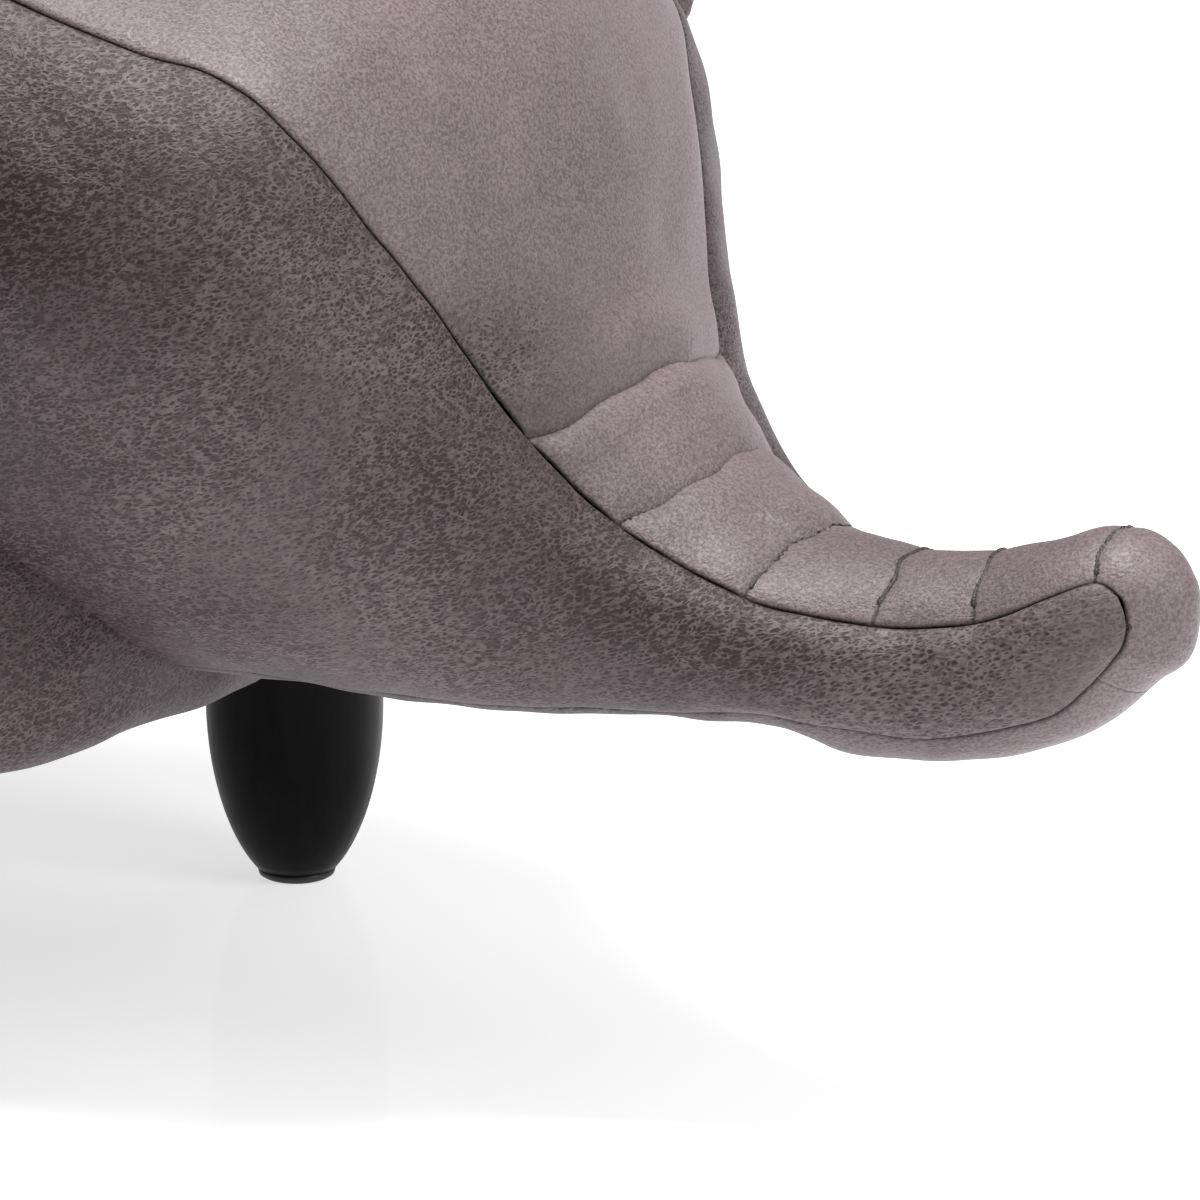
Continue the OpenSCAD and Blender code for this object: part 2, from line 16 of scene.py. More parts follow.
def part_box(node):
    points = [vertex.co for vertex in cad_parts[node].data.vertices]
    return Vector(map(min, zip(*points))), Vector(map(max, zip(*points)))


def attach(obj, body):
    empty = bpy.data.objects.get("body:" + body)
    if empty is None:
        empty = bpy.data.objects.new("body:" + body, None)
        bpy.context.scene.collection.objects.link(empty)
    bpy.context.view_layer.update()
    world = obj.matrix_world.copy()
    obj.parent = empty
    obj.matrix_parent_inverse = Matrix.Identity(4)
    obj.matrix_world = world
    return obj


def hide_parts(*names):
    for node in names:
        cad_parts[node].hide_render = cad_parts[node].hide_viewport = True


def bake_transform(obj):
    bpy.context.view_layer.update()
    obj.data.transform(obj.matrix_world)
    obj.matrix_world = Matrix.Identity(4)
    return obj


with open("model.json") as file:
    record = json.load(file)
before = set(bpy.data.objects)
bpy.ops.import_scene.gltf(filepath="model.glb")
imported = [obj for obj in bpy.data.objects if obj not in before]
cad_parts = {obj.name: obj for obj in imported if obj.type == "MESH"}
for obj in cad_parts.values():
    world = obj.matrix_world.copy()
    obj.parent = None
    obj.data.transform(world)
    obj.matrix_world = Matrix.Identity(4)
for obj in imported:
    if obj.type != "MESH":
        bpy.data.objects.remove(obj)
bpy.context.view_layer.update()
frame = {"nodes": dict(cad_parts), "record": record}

bl_info = {
    "name": "Elephant footstool",
    "version": (1, 0, 0),
    "blender": (4, 5, 0),
    "location": "3D View > Sidebar > Footstool",
    "description": "Builds an upholstered elephant footstool in artificial leather",
    "category": "Object",
}

MM = 0.001
FLOOR_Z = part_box("glide_front_left")[0].z

# ---------------------------------------------------------------- sizes and colours


def length(name, description, default, least):
    """A length that the sidebar shows."""
    return FloatProperty(name=name, description=description, default=default, min=least,
                         unit="LENGTH", subtype="DISTANCE")


def colour(name, description, default):
    """A colour that the sidebar shows."""
    return FloatVectorProperty(name=name, description=description, default=default,
                               subtype="COLOR", size=3, min=0, max=1)


class StoolSewing(bpy.types.PropertyGroup):
    """Sizes of the seams, tucks and filling"""

    seam_depth: length(
        "Seam depth", "How far a sewn edge dips under the leather", 0.0010, 0)
    seam_reach: length(
        "Seam reach", "Width over which the leather rolls into a seam", 0.0006, 0.0002)
    fullness: length(
        "Fullness", "How far a panel stands proud between its seams", 0.0018, 0)
    tuck_depth: length(
        "Tuck depth", "Depth of the deepest tuck across the trunk", 0.0044, 0)
    shoulder: length(
        "Shoulder", "Softness of the torso's edge where it meets the head", 0.046, 0.005)
    leather_thickness: length(
        "Leather thickness", "Thickness of the covering", 0.0012, 0.0004)
    stitch_length: length(
        "Stitch length", "Length of one stitch", 0.0030, 0.001)
    thread_width: length(
        "Thread width", "Diameter of the sewing thread", 0.0005, 0.0003)
    air_pressure: FloatProperty(
        name="Filling pressure", description="Pressure of the filling on the cloth",
        default=4.0, min=0)
    settle_frames: IntProperty(
        name="Settling frames", description="Frames that the covering takes to settle",
        default=20, min=2)


class StoolColours(bpy.types.PropertyGroup):
    """Colours of the leather, legs, thread and floor"""

    hide_dark: colour(
        "Leather, dark", "Colour in the pits of the grain", (0.0125, 0.0058, 0.0068))
    hide_light: colour(
        "Leather, light", "Colour of the rubbed network over the pits", (0.174, 0.134, 0.142))
    lacquer: colour(
        "Lacquer", "Colour of the turned legs", (0.0022, 0.0022, 0.0023))
    thread: colour(
        "Thread", "Colour of the sewing thread", (0.012, 0.010, 0.011))
    floor: colour(
        "Floor", "Colour of the studio floor", (0.86, 0.86, 0.87))


class StoolStage(bpy.types.PropertyGroup):
    """Camera and light"""

    camera_azimuth: FloatProperty(
        name="Camera azimuth", description="Turn of the camera about the stool",
        default=math.radians(30), subtype="ANGLE", unit="ROTATION")
    camera_elevation: FloatProperty(
        name="Camera elevation", description="Height angle of the camera",
        default=math.radians(17), subtype="ANGLE", unit="ROTATION")
    camera_place: FloatVectorProperty(
        name="Camera place", description="Where the camera stands",
        default=(1.1237, -1.6408, 0.7274), subtype="XYZ", unit="LENGTH", size=3)
    lens: FloatProperty(
        name="Lens", description="Focal length on a 36 mm sensor, in millimetres",
        default=204.6, min=10)
    key_power: FloatProperty(
        name="Overhead light", description="Power of the softbox overhead",
        default=60.0, min=0, unit="POWER")
    front_power: FloatProperty(
        name="Front light", description="Power of the softbox beyond the trunk",
        default=17.0, min=0, unit="POWER")
    rim_power: FloatProperty(
        name="Rear light", description="Power of the softbox behind the stool",
        default=2.5, min=0, unit="POWER")
    floor_glow: FloatProperty(
        name="Floor glow", description="Light that comes up through the white floor",
        default=0.62, min=0)
    sky: FloatProperty(
        name="Room light", description="Strength of the even light from all round",
        default=0.22, min=0)


def sewing():
    return bpy.context.scene.stool_sewing


def colours():
    return bpy.context.scene.stool_colours


# ---------------------------------------------------------------- surfaces of the stool

# Stations from the neck to the trunk tip, in millimetres: upper seam x and z, lower seam
# x and z, upper, middle and lower half width, rise of the crown, drop of the belly.
# Much of the upper seam was rounded from what a scratch program printed.
HEAD_ROWS = np.array([
    [-26, 350, 68, 128, 118, 147, 60, 31, 10],
    [28, 341, 82, 127, 118, 146, 56, 33, 9],
    [90, 325, 97, 126, 114, 140, 52, 30, 8],
    [119, 318, 108, 125, 110, 134, 48, 25, 8],
    [140, 303, 121, 124, 106, 126, 45, 20, 8],
    [161, 265, 147, 125, 84, 103, 41, 14, 8],
    [170, 244, 162, 126, 72, 90, 40, 12, 8],
    [177, 227, 178, 128, 63, 79, 38, 12, 8],
    [186, 212, 196, 130, 56, 68, 37, 12, 7],
    [210, 186, 222, 131, 44, 54, 34, 11, 7],
    [242, 169, 246, 133, 36, 44, 32, 11, 9],
    [262, 165, 264, 132, 31, 38, 30, 12, 13],
    [290, 164, 292, 132, 25, 32, 26, 13, 10],
    [312, 169, 314, 137, 22, 28, 22, 12, 9],
    [330, 178, 331, 143, 20, 25, 20, 9, 7],
    [343, 184, 342, 152, 18, 22, 18, 8, 7],
    [350, 181, 349, 161, 17, 19, 17, 10, 9],
    [352, 177, 352, 166, 16, 17, 16, 12, 12],
    [353, 171.5, 353, 171.5, 16, 16, 16, 12, 12],
]) * MM
TIP = len(HEAD_ROWS) - 1
CHEEK_FULLNESS = 2.6
NECK_BOTTOM = (HEAD_ROWS[0][2], HEAD_ROWS[0][3])
NECK_TOP = (HEAD_ROWS[0][0], HEAD_ROWS[0][1])
NAPE_SLOPE = 0.2

# Distance over which a panel falls towards its seam
SEAM_FALL = 0.007

# Width of the dark line that dirt and shade leave along a seam
SEAM_SHADE = 0.0005

# How far the middle of a stitch lies under the leather of the head
STITCH_SINK = 0.0002

# Tucks across the trunk: station, share of the full depth, lean of the fold over the seam
TUCKS = [(8.0, 1.0, 0.0014), (9.0, 0.50, 0.0005), (10.05, 0.36, 0.0002),
         (11.6, 0.20, 0.0), (12.85, 0.20, 0.0), (15.0, 0.22, 0.0)]

TORSO_HALF = (0.214, 0.160)
TORSO_X = -0.136
TORSO_SQUARE = 3.5
BASE_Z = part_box("base_board")[0].z
SEAT_Z = 0.381
BOTTOM_ROLL = 0.028
SIDE_ROLL = 0.010
BOTTOM_ROLL_H = 0.060
SEAT_ROLL = 0.060
SEAT_CROWN = 0.006
SIDE_TOP = SEAT_Z - SEAT_CROWN - SEAT_ROLL
# Share of the side's height by which the leather carries on under the base
UNDER_WRAP = 0.08
SEAM_ANGLE = math.radians(30)
SEAM_Z = SIDE_TOP + SEAT_ROLL * math.sin(SEAM_ANGLE)


def lerp(a, b, t):
    return a + (b - a) * t


def smooth_step(x, low, high):
    t = np.clip((x - low) / (high - low), 0, 1)
    return t * t * (3 - 2 * t)


def unit(v):
    return v / np.linalg.norm(v, axis=-1, keepdims=True)


def soft_min(a, b, k):
    """The lower of a and b, rounded over a width k where they cross."""
    h = np.clip(0.5 + 0.5 * (b - a) / k, 0, 1)
    return lerp(b, a, h) - k * h * (1 - h)


def head_at(s):
    """The head's row at station s, by a Catmull-Rom blend."""
    s = np.clip(np.asarray(s, float), 0, TIP)
    i = np.minimum(np.floor(s).astype(int), TIP - 1)
    t = (s - i)[..., None]
    p0, p1, p2, p3 = (HEAD_ROWS[np.clip(i + k, 0, TIP)] for k in (-1, 0, 1, 2))
    return 0.5 * (2 * p1 + (p2 - p0) * t + (2 * p0 - 5 * p1 + 4 * p2 - p3) * t * t
                  + (3 * p1 - p0 - 3 * p2 + p3) * t ** 3)


def seam_normals(s):
    """Outward directions of the upper and lower seams in the XZ plane."""
    s = np.clip(np.asarray(s, float), 0, TIP)
    a, b = head_at(s - 0.05), head_at(s + 0.05)
    upper = np.stack([a[..., 1] - b[..., 1], b[..., 0] - a[..., 0]], -1)
    lower = np.stack([b[..., 3] - a[..., 3], a[..., 2] - b[..., 2]], -1)
    end = smooth_step(s, TIP - 1.2, TIP)[..., None]
    ahead = np.array([1.0, 0.0])
    return unit(lerp(unit(upper), ahead, end)), unit(lerp(unit(lower), ahead, end))


def neck_x(z):
    """X of the plane between torso and head."""
    along = (z - NECK_BOTTOM[1]) / (NECK_TOP[1] - NECK_BOTTOM[1])
    return np.where(z > NECK_TOP[1], NECK_TOP[0] + NAPE_SLOPE * (z - NECK_TOP[1]),
                    lerp(NECK_BOTTOM[0], NECK_TOP[0], along))


NECK_BACK = unit(np.array([NECK_BOTTOM[1] - NECK_TOP[1], 0, NECK_TOP[0] - NECK_BOTTOM[0]]))
NECK_TUCK_IN = 0.020
# How far the torso covering laps forward over the head
NECK_COVER = 0.021


def tuck_in(points, s):
    """Stations below 0 run back into the torso and draw in a little."""
    back = np.clip(-s, 0, 1)[..., None]
    middle = np.array([0.02, 0, 0.24])
    shrunk = lerp(points, middle, 0.085 * back ** 1.5)
    return shrunk + NECK_BACK * NECK_TUCK_IN * back


def upper_point(s, f):
    """Point on the forehead and the top of the trunk, f from 0 (left) to 1 (right)."""
    h, n = head_at(s), seam_normals(s)[0]
    y = 1 - 2 * f
    # the crown sinks towards the neck, so that a crease divides it from the seat
    out = h[..., 7] * (1 - y * y) * lerp(0.45, 1.0, smooth_step(s, -0.2, 1.0))
    p = np.stack([h[..., 0] + n[..., 0] * out, h[..., 4] * y, h[..., 1] + n[..., 1] * out], -1)
    return tuck_in(p, s)


def lower_point(s, f):
    """Point on the chin and the underside of the trunk."""
    h, n = head_at(s), seam_normals(s)[1]
    y = 1 - 2 * f
    out = h[..., 8] * (1 - y * y)
    p = np.stack([h[..., 2] + n[..., 0] * out, h[..., 6] * y, h[..., 3] + n[..., 1] * out], -1)
    return tuck_in(p, s)


def side_point(s, f, side):
    """Point on a cheek and the side of the trunk, f from 0 (upper seam) to 1 (lower)."""
    h = head_at(s)
    bulge = h[..., 5] - (h[..., 4] + h[..., 6]) / 2
    y = lerp(h[..., 4], h[..., 6], f) + bulge * (1 - np.abs(1 - 2 * f) ** CHEEK_FULLNESS)
    p = np.stack([lerp(h[..., 0], h[..., 2], f), side * y, lerp(h[..., 1], h[..., 3], f)], -1)
    return tuck_in(p, s)


def arc_in(u):
    return 1 - np.sqrt(np.clip(1 - u * u, 0, 1))


def torso_xy(z, t, end_roll, side_roll, scale=1.0):
    """Point of the torso's outline at height z and angle t, rounded off at the neck."""
    power = 2 / TORSO_SQUARE
    x = (TORSO_HALF[0] - end_roll) * scale * np.sign(np.cos(t)) * np.abs(np.cos(t)) ** power
    y = (TORSO_HALF[1] - side_roll) * scale * np.sign(np.sin(t)) * np.abs(np.sin(t)) ** power
    x = soft_min(TORSO_X + x, neck_x(z) + NECK_COVER, sewing().shoulder)
    return np.stack([x, y, z + 0 * x], -1)


def torso_side_point(z, t):
    """Point on the torso's side, from the base edge up to the seat seam."""
    low = arc_in(np.clip(1 - (z - BASE_Z) / BOTTOM_ROLL_H, 0, 1))
    high = arc_in(np.clip((z - SIDE_TOP) / SEAT_ROLL, 0, 1))
    return torso_xy(z, t, BOTTOM_ROLL * low + SEAT_ROLL * high,
                    SIDE_ROLL * low + SEAT_ROLL * high)


def seat_point(ring, t):
    """Point on the seat, ring from 0 at its middle to 1 at its seam."""
    edge = 0.72
    angle = lerp(SEAM_ANGLE, math.pi / 2, np.clip((1 - ring) / (1 - edge), 0, 1))
    crown = np.clip(ring / edge, 0, 1)
    roll = SEAT_ROLL * (1 - np.cos(angle))
    z = np.where(ring > edge, SIDE_TOP + SEAT_ROLL * np.sin(angle),
                 SEAT_Z - SEAT_CROWN * crown * crown)
    return torso_xy(z, t, roll, roll, crown)


EAR_ROOT = np.array([0.004, 0.154, 0.286])
EAR_REACH = 0.126
EAR_ROOT_H = 0.042
EAR_HALF_H = 0.072
EAR_WIDEST = 0.45
EAR_TURN = math.radians(10)
EAR_CURL = math.radians(40)
EAR_LEAN = math.radians(-20)
EAR_TILT = math.radians(10)
EAR_DROP = 0.010
EAR_THICKNESS = 0.014


def ear_place(side):
    """Matrix from the ear's own frame to its place on the head."""
    turned = Matrix.Rotation(EAR_LEAN, 4, "Y") @ Matrix.Rotation(EAR_TILT, 4, "X")
    placed = Matrix.Translation(EAR_ROOT) @ turned
    return Matrix.Diagonal((1, side, 1, 1)) @ placed


def ear_outline(a, b):
    """Reach and height on the ear's outline grid, a from -0.12 (sewn in) to 1, b from -1 to 1."""
    split = 0.42
    inner = a < split
    reach_in = a / split * EAR_WIDEST
    half_h = lerp(EAR_ROOT_H, EAR_HALF_H, np.sin(np.clip(a / split, 0, 1) * math.pi / 2))
    c = np.clip((a - split) / (1 - split), 0, 1)
    reach_out = EAR_WIDEST + (1 - EAR_WIDEST) * c * np.sqrt(1 - b * b / 2)
    height_out = EAR_HALF_H * b * np.sqrt(1 - c * c / 2)
    # the part near the root keeps its full height, and the outer part rounds off
    return np.where(inner, reach_in, reach_out), np.where(inner, half_h * b, height_out)


def ear_point(reach, height, off):
    """Point of the ear in its own frame, raised by off from its middle surface."""
    turn = EAR_TURN + EAR_CURL * reach
    k = EAR_REACH / EAR_CURL
    return np.stack([
        k * (math.cos(EAR_TURN) - np.cos(turn)) + off * np.cos(turn),
        k * (np.sin(turn) - math.sin(EAR_TURN)) - off * np.sin(turn),
        height - EAR_DROP * reach], -1)


# ---------------------------------------------------------------- leather patches


SIDE_EDGES = ((1, 0), (1, -1))
FIRST_ROW, LAST_ROW = (0, 0), (0, -1)


class Patch:
    """A piece of leather as a grid of points, from a surface over two lists of parameters."""

    def __init__(self, name, surface, rows, cols, flip=False):
        self.name, self.surface, self.rows, self.cols = name, surface, rows, cols
        self.flip = flip
        self.s, self.f = np.meshgrid(rows, cols, indexing="ij")
        self.points = surface(self.s, self.f)

    def normals(self):
        """Outward normals of the grid."""
        along = np.gradient(self.points, axis=0)
        across = np.gradient(self.points, axis=1)
        n = np.cross(along, across)
        size = np.linalg.norm(n, axis=-1, keepdims=True)
        n = n / np.maximum(size, 1e-12)
        return -n if self.flip else n

    def edge_distance(self, axis, end):
        """Distance of every point from one edge of the patch, along the surface."""
        step = np.linalg.norm(np.diff(self.points, axis=axis), axis=-1)
        pad = [(0, 0), (0, 0)]
        pad[axis] = (1, 0)
        far = np.cumsum(np.pad(step, pad), axis=axis)
        return far if end == 0 else np.take(far, [-1], axis=axis) - far

    def near_edge(self, *edges):
        """Distance from the nearest of some edges, each given as axis and end."""
        return np.minimum.reduce([self.edge_distance(*edge) for edge in edges])

    def coarse(self, rows, cols):
        """The same surface on a coarser grid, for the cloth."""
        pick = lambda v, n: np.interp(np.linspace(0, len(v) - 1, n + 1), np.arange(len(v)), v)
        return Patch(self.name, self.surface, pick(self.rows, rows), pick(self.cols, cols),
                     self.flip)

    def push(self, amount):
        """Moves every point along its normal."""
        self.points = self.points + self.normals() * np.asarray(amount)[..., None]


def spread_list(low, high, count, crowd=(), width=0.25, gain=5.0, edges=0.0):
    """Parameters from low to high that crowd round some values, and towards both ends."""
    fine = np.linspace(low, high, 4000)
    weight = np.ones_like(fine)
    for c in crowd:
        weight += gain * np.exp(-((fine - c) / width) ** 2)
    if edges:
        span = high - low
        weight += edges * (np.exp(-(fine - low) / span / 0.02)
                           + np.exp(-(high - fine) / span / 0.02))
    total = np.concatenate([[0], np.cumsum((weight[1:] + weight[:-1]) / 2)])
    return np.interp(np.linspace(0, total[-1], count + 1), total, fine)


def ripples(points, size, seed, waves=9):
    """A smooth random field of about -1 to 1 over space, with bumps of a given size."""
    rng = np.random.default_rng(seed)
    total = np.zeros(points.shape[:-1])
    for _ in range(waves):
        direction = unit(rng.normal(size=3))
        total += np.sin(points @ direction * (2 * math.pi / size * rng.uniform(0.7, 1.4))
                        + rng.uniform(0, 2 * math.pi))
    return total / math.sqrt(waves)


def seam_dip(distance):
    """Dip of the leather near a sewn edge: a sharp roll into the seam and a soft fall to it."""
    s = sewing()
    sharp = s.seam_depth * np.exp(-(distance / s.seam_reach) ** 1.3)
    soft = s.fullness * np.exp(-distance / SEAM_FALL)
    return -(sharp + soft)


def mesh_of(bm, name):
    """A mesh from a bmesh, which is freed."""
    mesh = bpy.data.meshes.new(name)
    bm.to_mesh(mesh)
    bm.free()
    return mesh


def lathe(outline, steps):
    """A bmesh turned about the Z axis from an outline of radius and height."""
    bm = bmesh.new()
    line = [bm.verts.new((r, 0, z)) for r, z in outline]
    for a, b in zip(line, line[1:]):
        bm.edges.new((a, b))
    bmesh.ops.spin(bm, geom=bm.verts[:] + bm.edges[:], cent=(0, 0, 0), axis=(0, 0, 1),
                   angle=2 * math.pi, steps=steps, use_merge=True, use_duplicate=False)
    bmesh.ops.remove_doubles(bm, verts=bm.verts, dist=1e-5)
    bmesh.ops.recalc_face_normals(bm, faces=bm.faces)
    return bm


def grid_mesh(patch):
    """A bmesh grid with the patch's rows and columns, moved onto its points."""
    rows, cols = len(patch.rows), len(patch.cols)
    bm = bmesh.new()
    bm.loops.layers.uv.new("sewn")
    bmesh.ops.create_grid(bm, x_segments=cols - 1, y_segments=rows - 1, size=1, calc_uvs=True)
    mesh = mesh_of(bm, patch.name)
    co = np.zeros(rows * cols * 3, np.float32)
    mesh.vertices.foreach_get("co", co)
    co = co.reshape(-1, 3)
    j = np.rint((co[:, 0] + 1) / 2 * (cols - 1)).astype(int)
    i = np.rint((co[:, 1] + 1) / 2 * (rows - 1)).astype(int)
    mesh.vertices.foreach_set("co", patch.points[i, j].astype(np.float32).ravel())
    # the grid faces +Z with columns along X and rows along Y, so rows x columns point inwards
    if not patch.flip:
        mesh.flip_normals()
    mesh.update()
    return mesh, i, j


def leather_piece(patch, wear_and_light, edge):
    """A shown leather object from a patch, with its tone (wear and painted light) and its seam
    darkening (dirt and painted shade) as attributes.
    """
    mesh, i, j = grid_mesh(patch)
    for name, field in (("wear_and_painted_light", wear_and_light), ("seam", edge)):
        layer = mesh.attributes.new(name, "FLOAT", "POINT")
        field = np.broadcast_to(field, patch.s.shape)
        layer.data.foreach_set("value", field[i, j].astype(np.float32))
    obj = shown(patch.name, mesh, slot_finish("grey_leather"))
    wall = obj.modifiers.new("leather thickness", "SOLIDIFY")
    wall.thickness = sewing().leather_thickness
    wall.offset = -1
    return obj


def shown(name, mesh, material):
    """An object for a finished mesh, at the origin."""
    obj = bpy.data.objects.new(name, mesh)
    bpy.context.scene.collection.objects.link(obj)
    mesh.materials.append(material)
    mesh.shade_smooth()
    return obj


def lookup_tree(points):
    """A tree that finds the nearest of some points."""
    tree = kdtree.KDTree(len(points))
    for n, co in enumerate(points):
        tree.insert(co, n)
    tree.balance()
    return tree


def settle(patches, cap, grid=(44, 20)):
    """Lets the filling swell the joined patches as cloth, sewn fast along their edges.

    Moves each patch's points by what its own stretch of cloth did, at most by cap.
    """
    coarse = [p.coarse(*grid) for p in patches]
    bm = bmesh.new()
    for p in coarse:
        mesh = grid_mesh(p)[0]
        bm.from_mesh(mesh)
        bpy.data.meshes.remove(mesh)
    pins = lookup_tree([v.co.copy() for v in bm.verts if v.is_boundary])
    bmesh.ops.remove_doubles(bm, verts=bm.verts, dist=0.0004)
    bag_mesh = mesh_of(bm, "cloth")
    bag = bpy.data.objects.new("cloth", bag_mesh)
    bpy.context.scene.collection.objects.link(bag)
    held = [v.index for v in bag_mesh.vertices if pins.find(v.co)[2] < 0.0006]
    group = bag.vertex_groups.new(name="sewn")
    group.add(held, 1.0, "REPLACE")
    rest = np.array([v.co for v in bag_mesh.vertices])
    cloth = bag.modifiers.new("Cloth", "CLOTH")
    cloth.settings.quality = 5
    cloth.settings.mass = 0.4
    cloth.settings.tension_stiffness = 25
    cloth.settings.compression_stiffness = 25
    cloth.settings.shear_stiffness = 12
    cloth.settings.bending_stiffness = 1.2
    cloth.settings.use_pressure = True
    cloth.settings.uniform_pressure_force = sewing().air_pressure
    cloth.settings.vertex_group_mass = "sewn"
    cloth.settings.effector_weights.gravity = 0
    cloth.collision_settings.use_self_collision = False
    cloth.point_cache.frame_start = 1
    cloth.point_cache.frame_end = sewing().settle_frames
    scene = bpy.context.scene
    for number in range(1, sewing().settle_frames + 1):
        scene.frame_set(number)
    settled = bag.evaluated_get(bpy.context.evaluated_depsgraph_get())
    moved = np.array([v.co for v in settled.data.vertices]) - rest
    size = np.linalg.norm(moved, axis=1, keepdims=True)
    moved = moved * np.minimum(1, cap / np.maximum(size, 1e-9))
    lookup = lookup_tree(rest)
    for patch, low in zip(patches, coarse):
        flat = low.points.reshape(-1, 3)
        field = np.array([moved[lookup.find(co)[1]] for co in flat]).reshape(low.points.shape)
        patch.points = patch.points + stretched(field, low, patch)
    bpy.data.objects.remove(bag)
    bpy.data.meshes.remove(bag_mesh)
    scene.frame_set(1)


def stretched(field, low, patch):
    """A coarse patch's field on the fine patch, smoothed so that no coarse cell shows."""
    out = np.zeros((len(patch.rows), len(low.cols), 3))
    for c in range(3):
        for k in range(len(low.cols)):
            out[:, k, c] = np.interp(patch.rows, low.rows, field[:, k, c])
    full = np.zeros(patch.points.shape)
    for c in range(3):
        for k in range(len(patch.rows)):
            full[k, :, c] = np.interp(patch.cols, low.cols, out[k, :, c])
    for axis, cells in ((0, len(low.rows)), (1, len(low.cols))):
        reach = max(1, patch.points.shape[axis] // cells // 2)
        for _ in range(3):
            full = box_blur(full, axis, reach)
    return full


def box_blur(field, axis, reach):
    """Mean over 2 reach + 1 cells along an axis, with the edge cells repeated."""
    pad = [(0, 0)] * field.ndim
    pad[axis] = (reach + 1, reach)
    total = np.cumsum(np.pad(field, pad, mode="edge"), axis=axis)
    width = 2 * reach + 1
    count = field.shape[axis]
    high = np.take(total, np.arange(width, width + count), axis=axis)
    low = np.take(total, np.arange(0, count), axis=axis)
    return (high - low) / width


# ---------------------------------------------------------------- materials


class Finish:
    """Small helper that adds and links nodes of one material."""

    def __init__(self, name):
        self.material = bpy.data.materials.new(name)
        self.material.use_nodes = True
        self.tree = self.material.node_tree
        self.tree.nodes.clear()
        self.shader = self.add("ShaderNodeBsdfPrincipled")
        self.add("ShaderNodeOutputMaterial", {"Surface": self.shader.outputs["BSDF"]})
        self.place = self.add("ShaderNodeTexCoord").outputs["Object"]

    def plug(self, value, socket):
        """Links a node's output to a socket, or sets the socket to a plain value."""
        if isinstance(value, bpy.types.NodeSocket):
            self.tree.links.new(value, socket)
        else:
            socket.default_value = value

    def add(self, kind, inputs=None, **values):
        node = self.tree.nodes.new(kind)
        for key, value in values.items():
            setattr(node, key, value)
        for key, value in (inputs or {}).items():
            self.plug(value, node.inputs[key])
        return node

    def set(self, **sockets):
        for key, value in sockets.items():
            self.plug(value, self.shader.inputs[key.replace("_", " ")])

    def object_place(self, scale=(1, 1, 1), rotation=(0, 0, 0), kind="POINT"):
        return self.add("ShaderNodeMapping", {"Scale": scale, "Rotation": rotation,
                                              "Vector": self.place}, vector_type=kind).outputs[0]

    def noise(self, source, scale, detail=3.0, roughness=0.55, distortion=0.0):
        return self.add("ShaderNodeTexNoise", {
            "Scale": scale, "Detail": detail, "Roughness": roughness,
            "Distortion": distortion, "Vector": source}).outputs["Fac"]

    def cells(self, source, scale, feature="DISTANCE_TO_EDGE", randomness=1.0):
        return self.add("ShaderNodeTexVoronoi", {
            "Scale": scale, "Randomness": randomness, "Vector": source},
            feature=feature).outputs["Distance"]

    def math(self, operation, a, b=0.0, clamp=False):
        return self.add("ShaderNodeMath", {0: a, 1: b}, operation=operation,
                        use_clamp=clamp).outputs[0]

    def weigh(self, a, share_a, b, share_b):
        """The sum of two values, each times its share."""
        return self.math("ADD", self.math("MULTIPLY", a, share_a),
                         self.math("MULTIPLY", b, share_b))

    def range(self, value, from_low, from_high, to_low=0.0, to_high=1.0, smooth=True):
        return self.add("ShaderNodeMapRange", {
            "From Min": from_low, "From Max": from_high, "To Min": to_low,
            "To Max": to_high, "Value": value},
            interpolation_type="SMOOTHSTEP" if smooth else "LINEAR").outputs["Result"]

    def mix(self, factor, a, b, blend="MIX"):
        a, b = (c if isinstance(c, bpy.types.NodeSocket) else (*c, 1) for c in (a, b))
        return self.add("ShaderNodeMix", {0: factor, 6: a, 7: b}, data_type="RGBA",
                        blend_type=blend).outputs[2]

    def attribute(self, name):
        return self.add("ShaderNodeAttribute", attribute_name=name).outputs["Fac"]

    def warped(self, source, scale, amount):
        """The place, pushed about by noise, so that no cell edge runs straight."""
        push = self.add("ShaderNodeTexNoise", {"Scale": scale, "Detail": 2.0,
                                               "Vector": source}).outputs["Color"]
        vector = "ShaderNodeVectorMath"
        push = self.add(vector, {0: push, 1: (0.5, 0.5, 0.5)}, operation="SUBTRACT").outputs[0]
        push = self.add(vector, {0: push, "Scale": amount}, operation="SCALE").outputs[0]
        return self.add(vector, {0: source, 1: push}, operation="ADD").outputs[0]

    def colour(self, socket):
        self.set(Base_Color=socket)

    def roughness(self, socket):
        self.set(Roughness=socket)

    def bump(self, height, distance, strength=1.0):
        self.set(Normal=self.add("ShaderNodeBump", {
            "Strength": strength, "Distance": distance, "Height": height}).outputs["Normal"])


_finishes = {}


def finish_of(name, maker):
    """The material of that name, made once."""
    if name not in _finishes:
        _finishes[name] = maker(name)
    return _finishes[name]


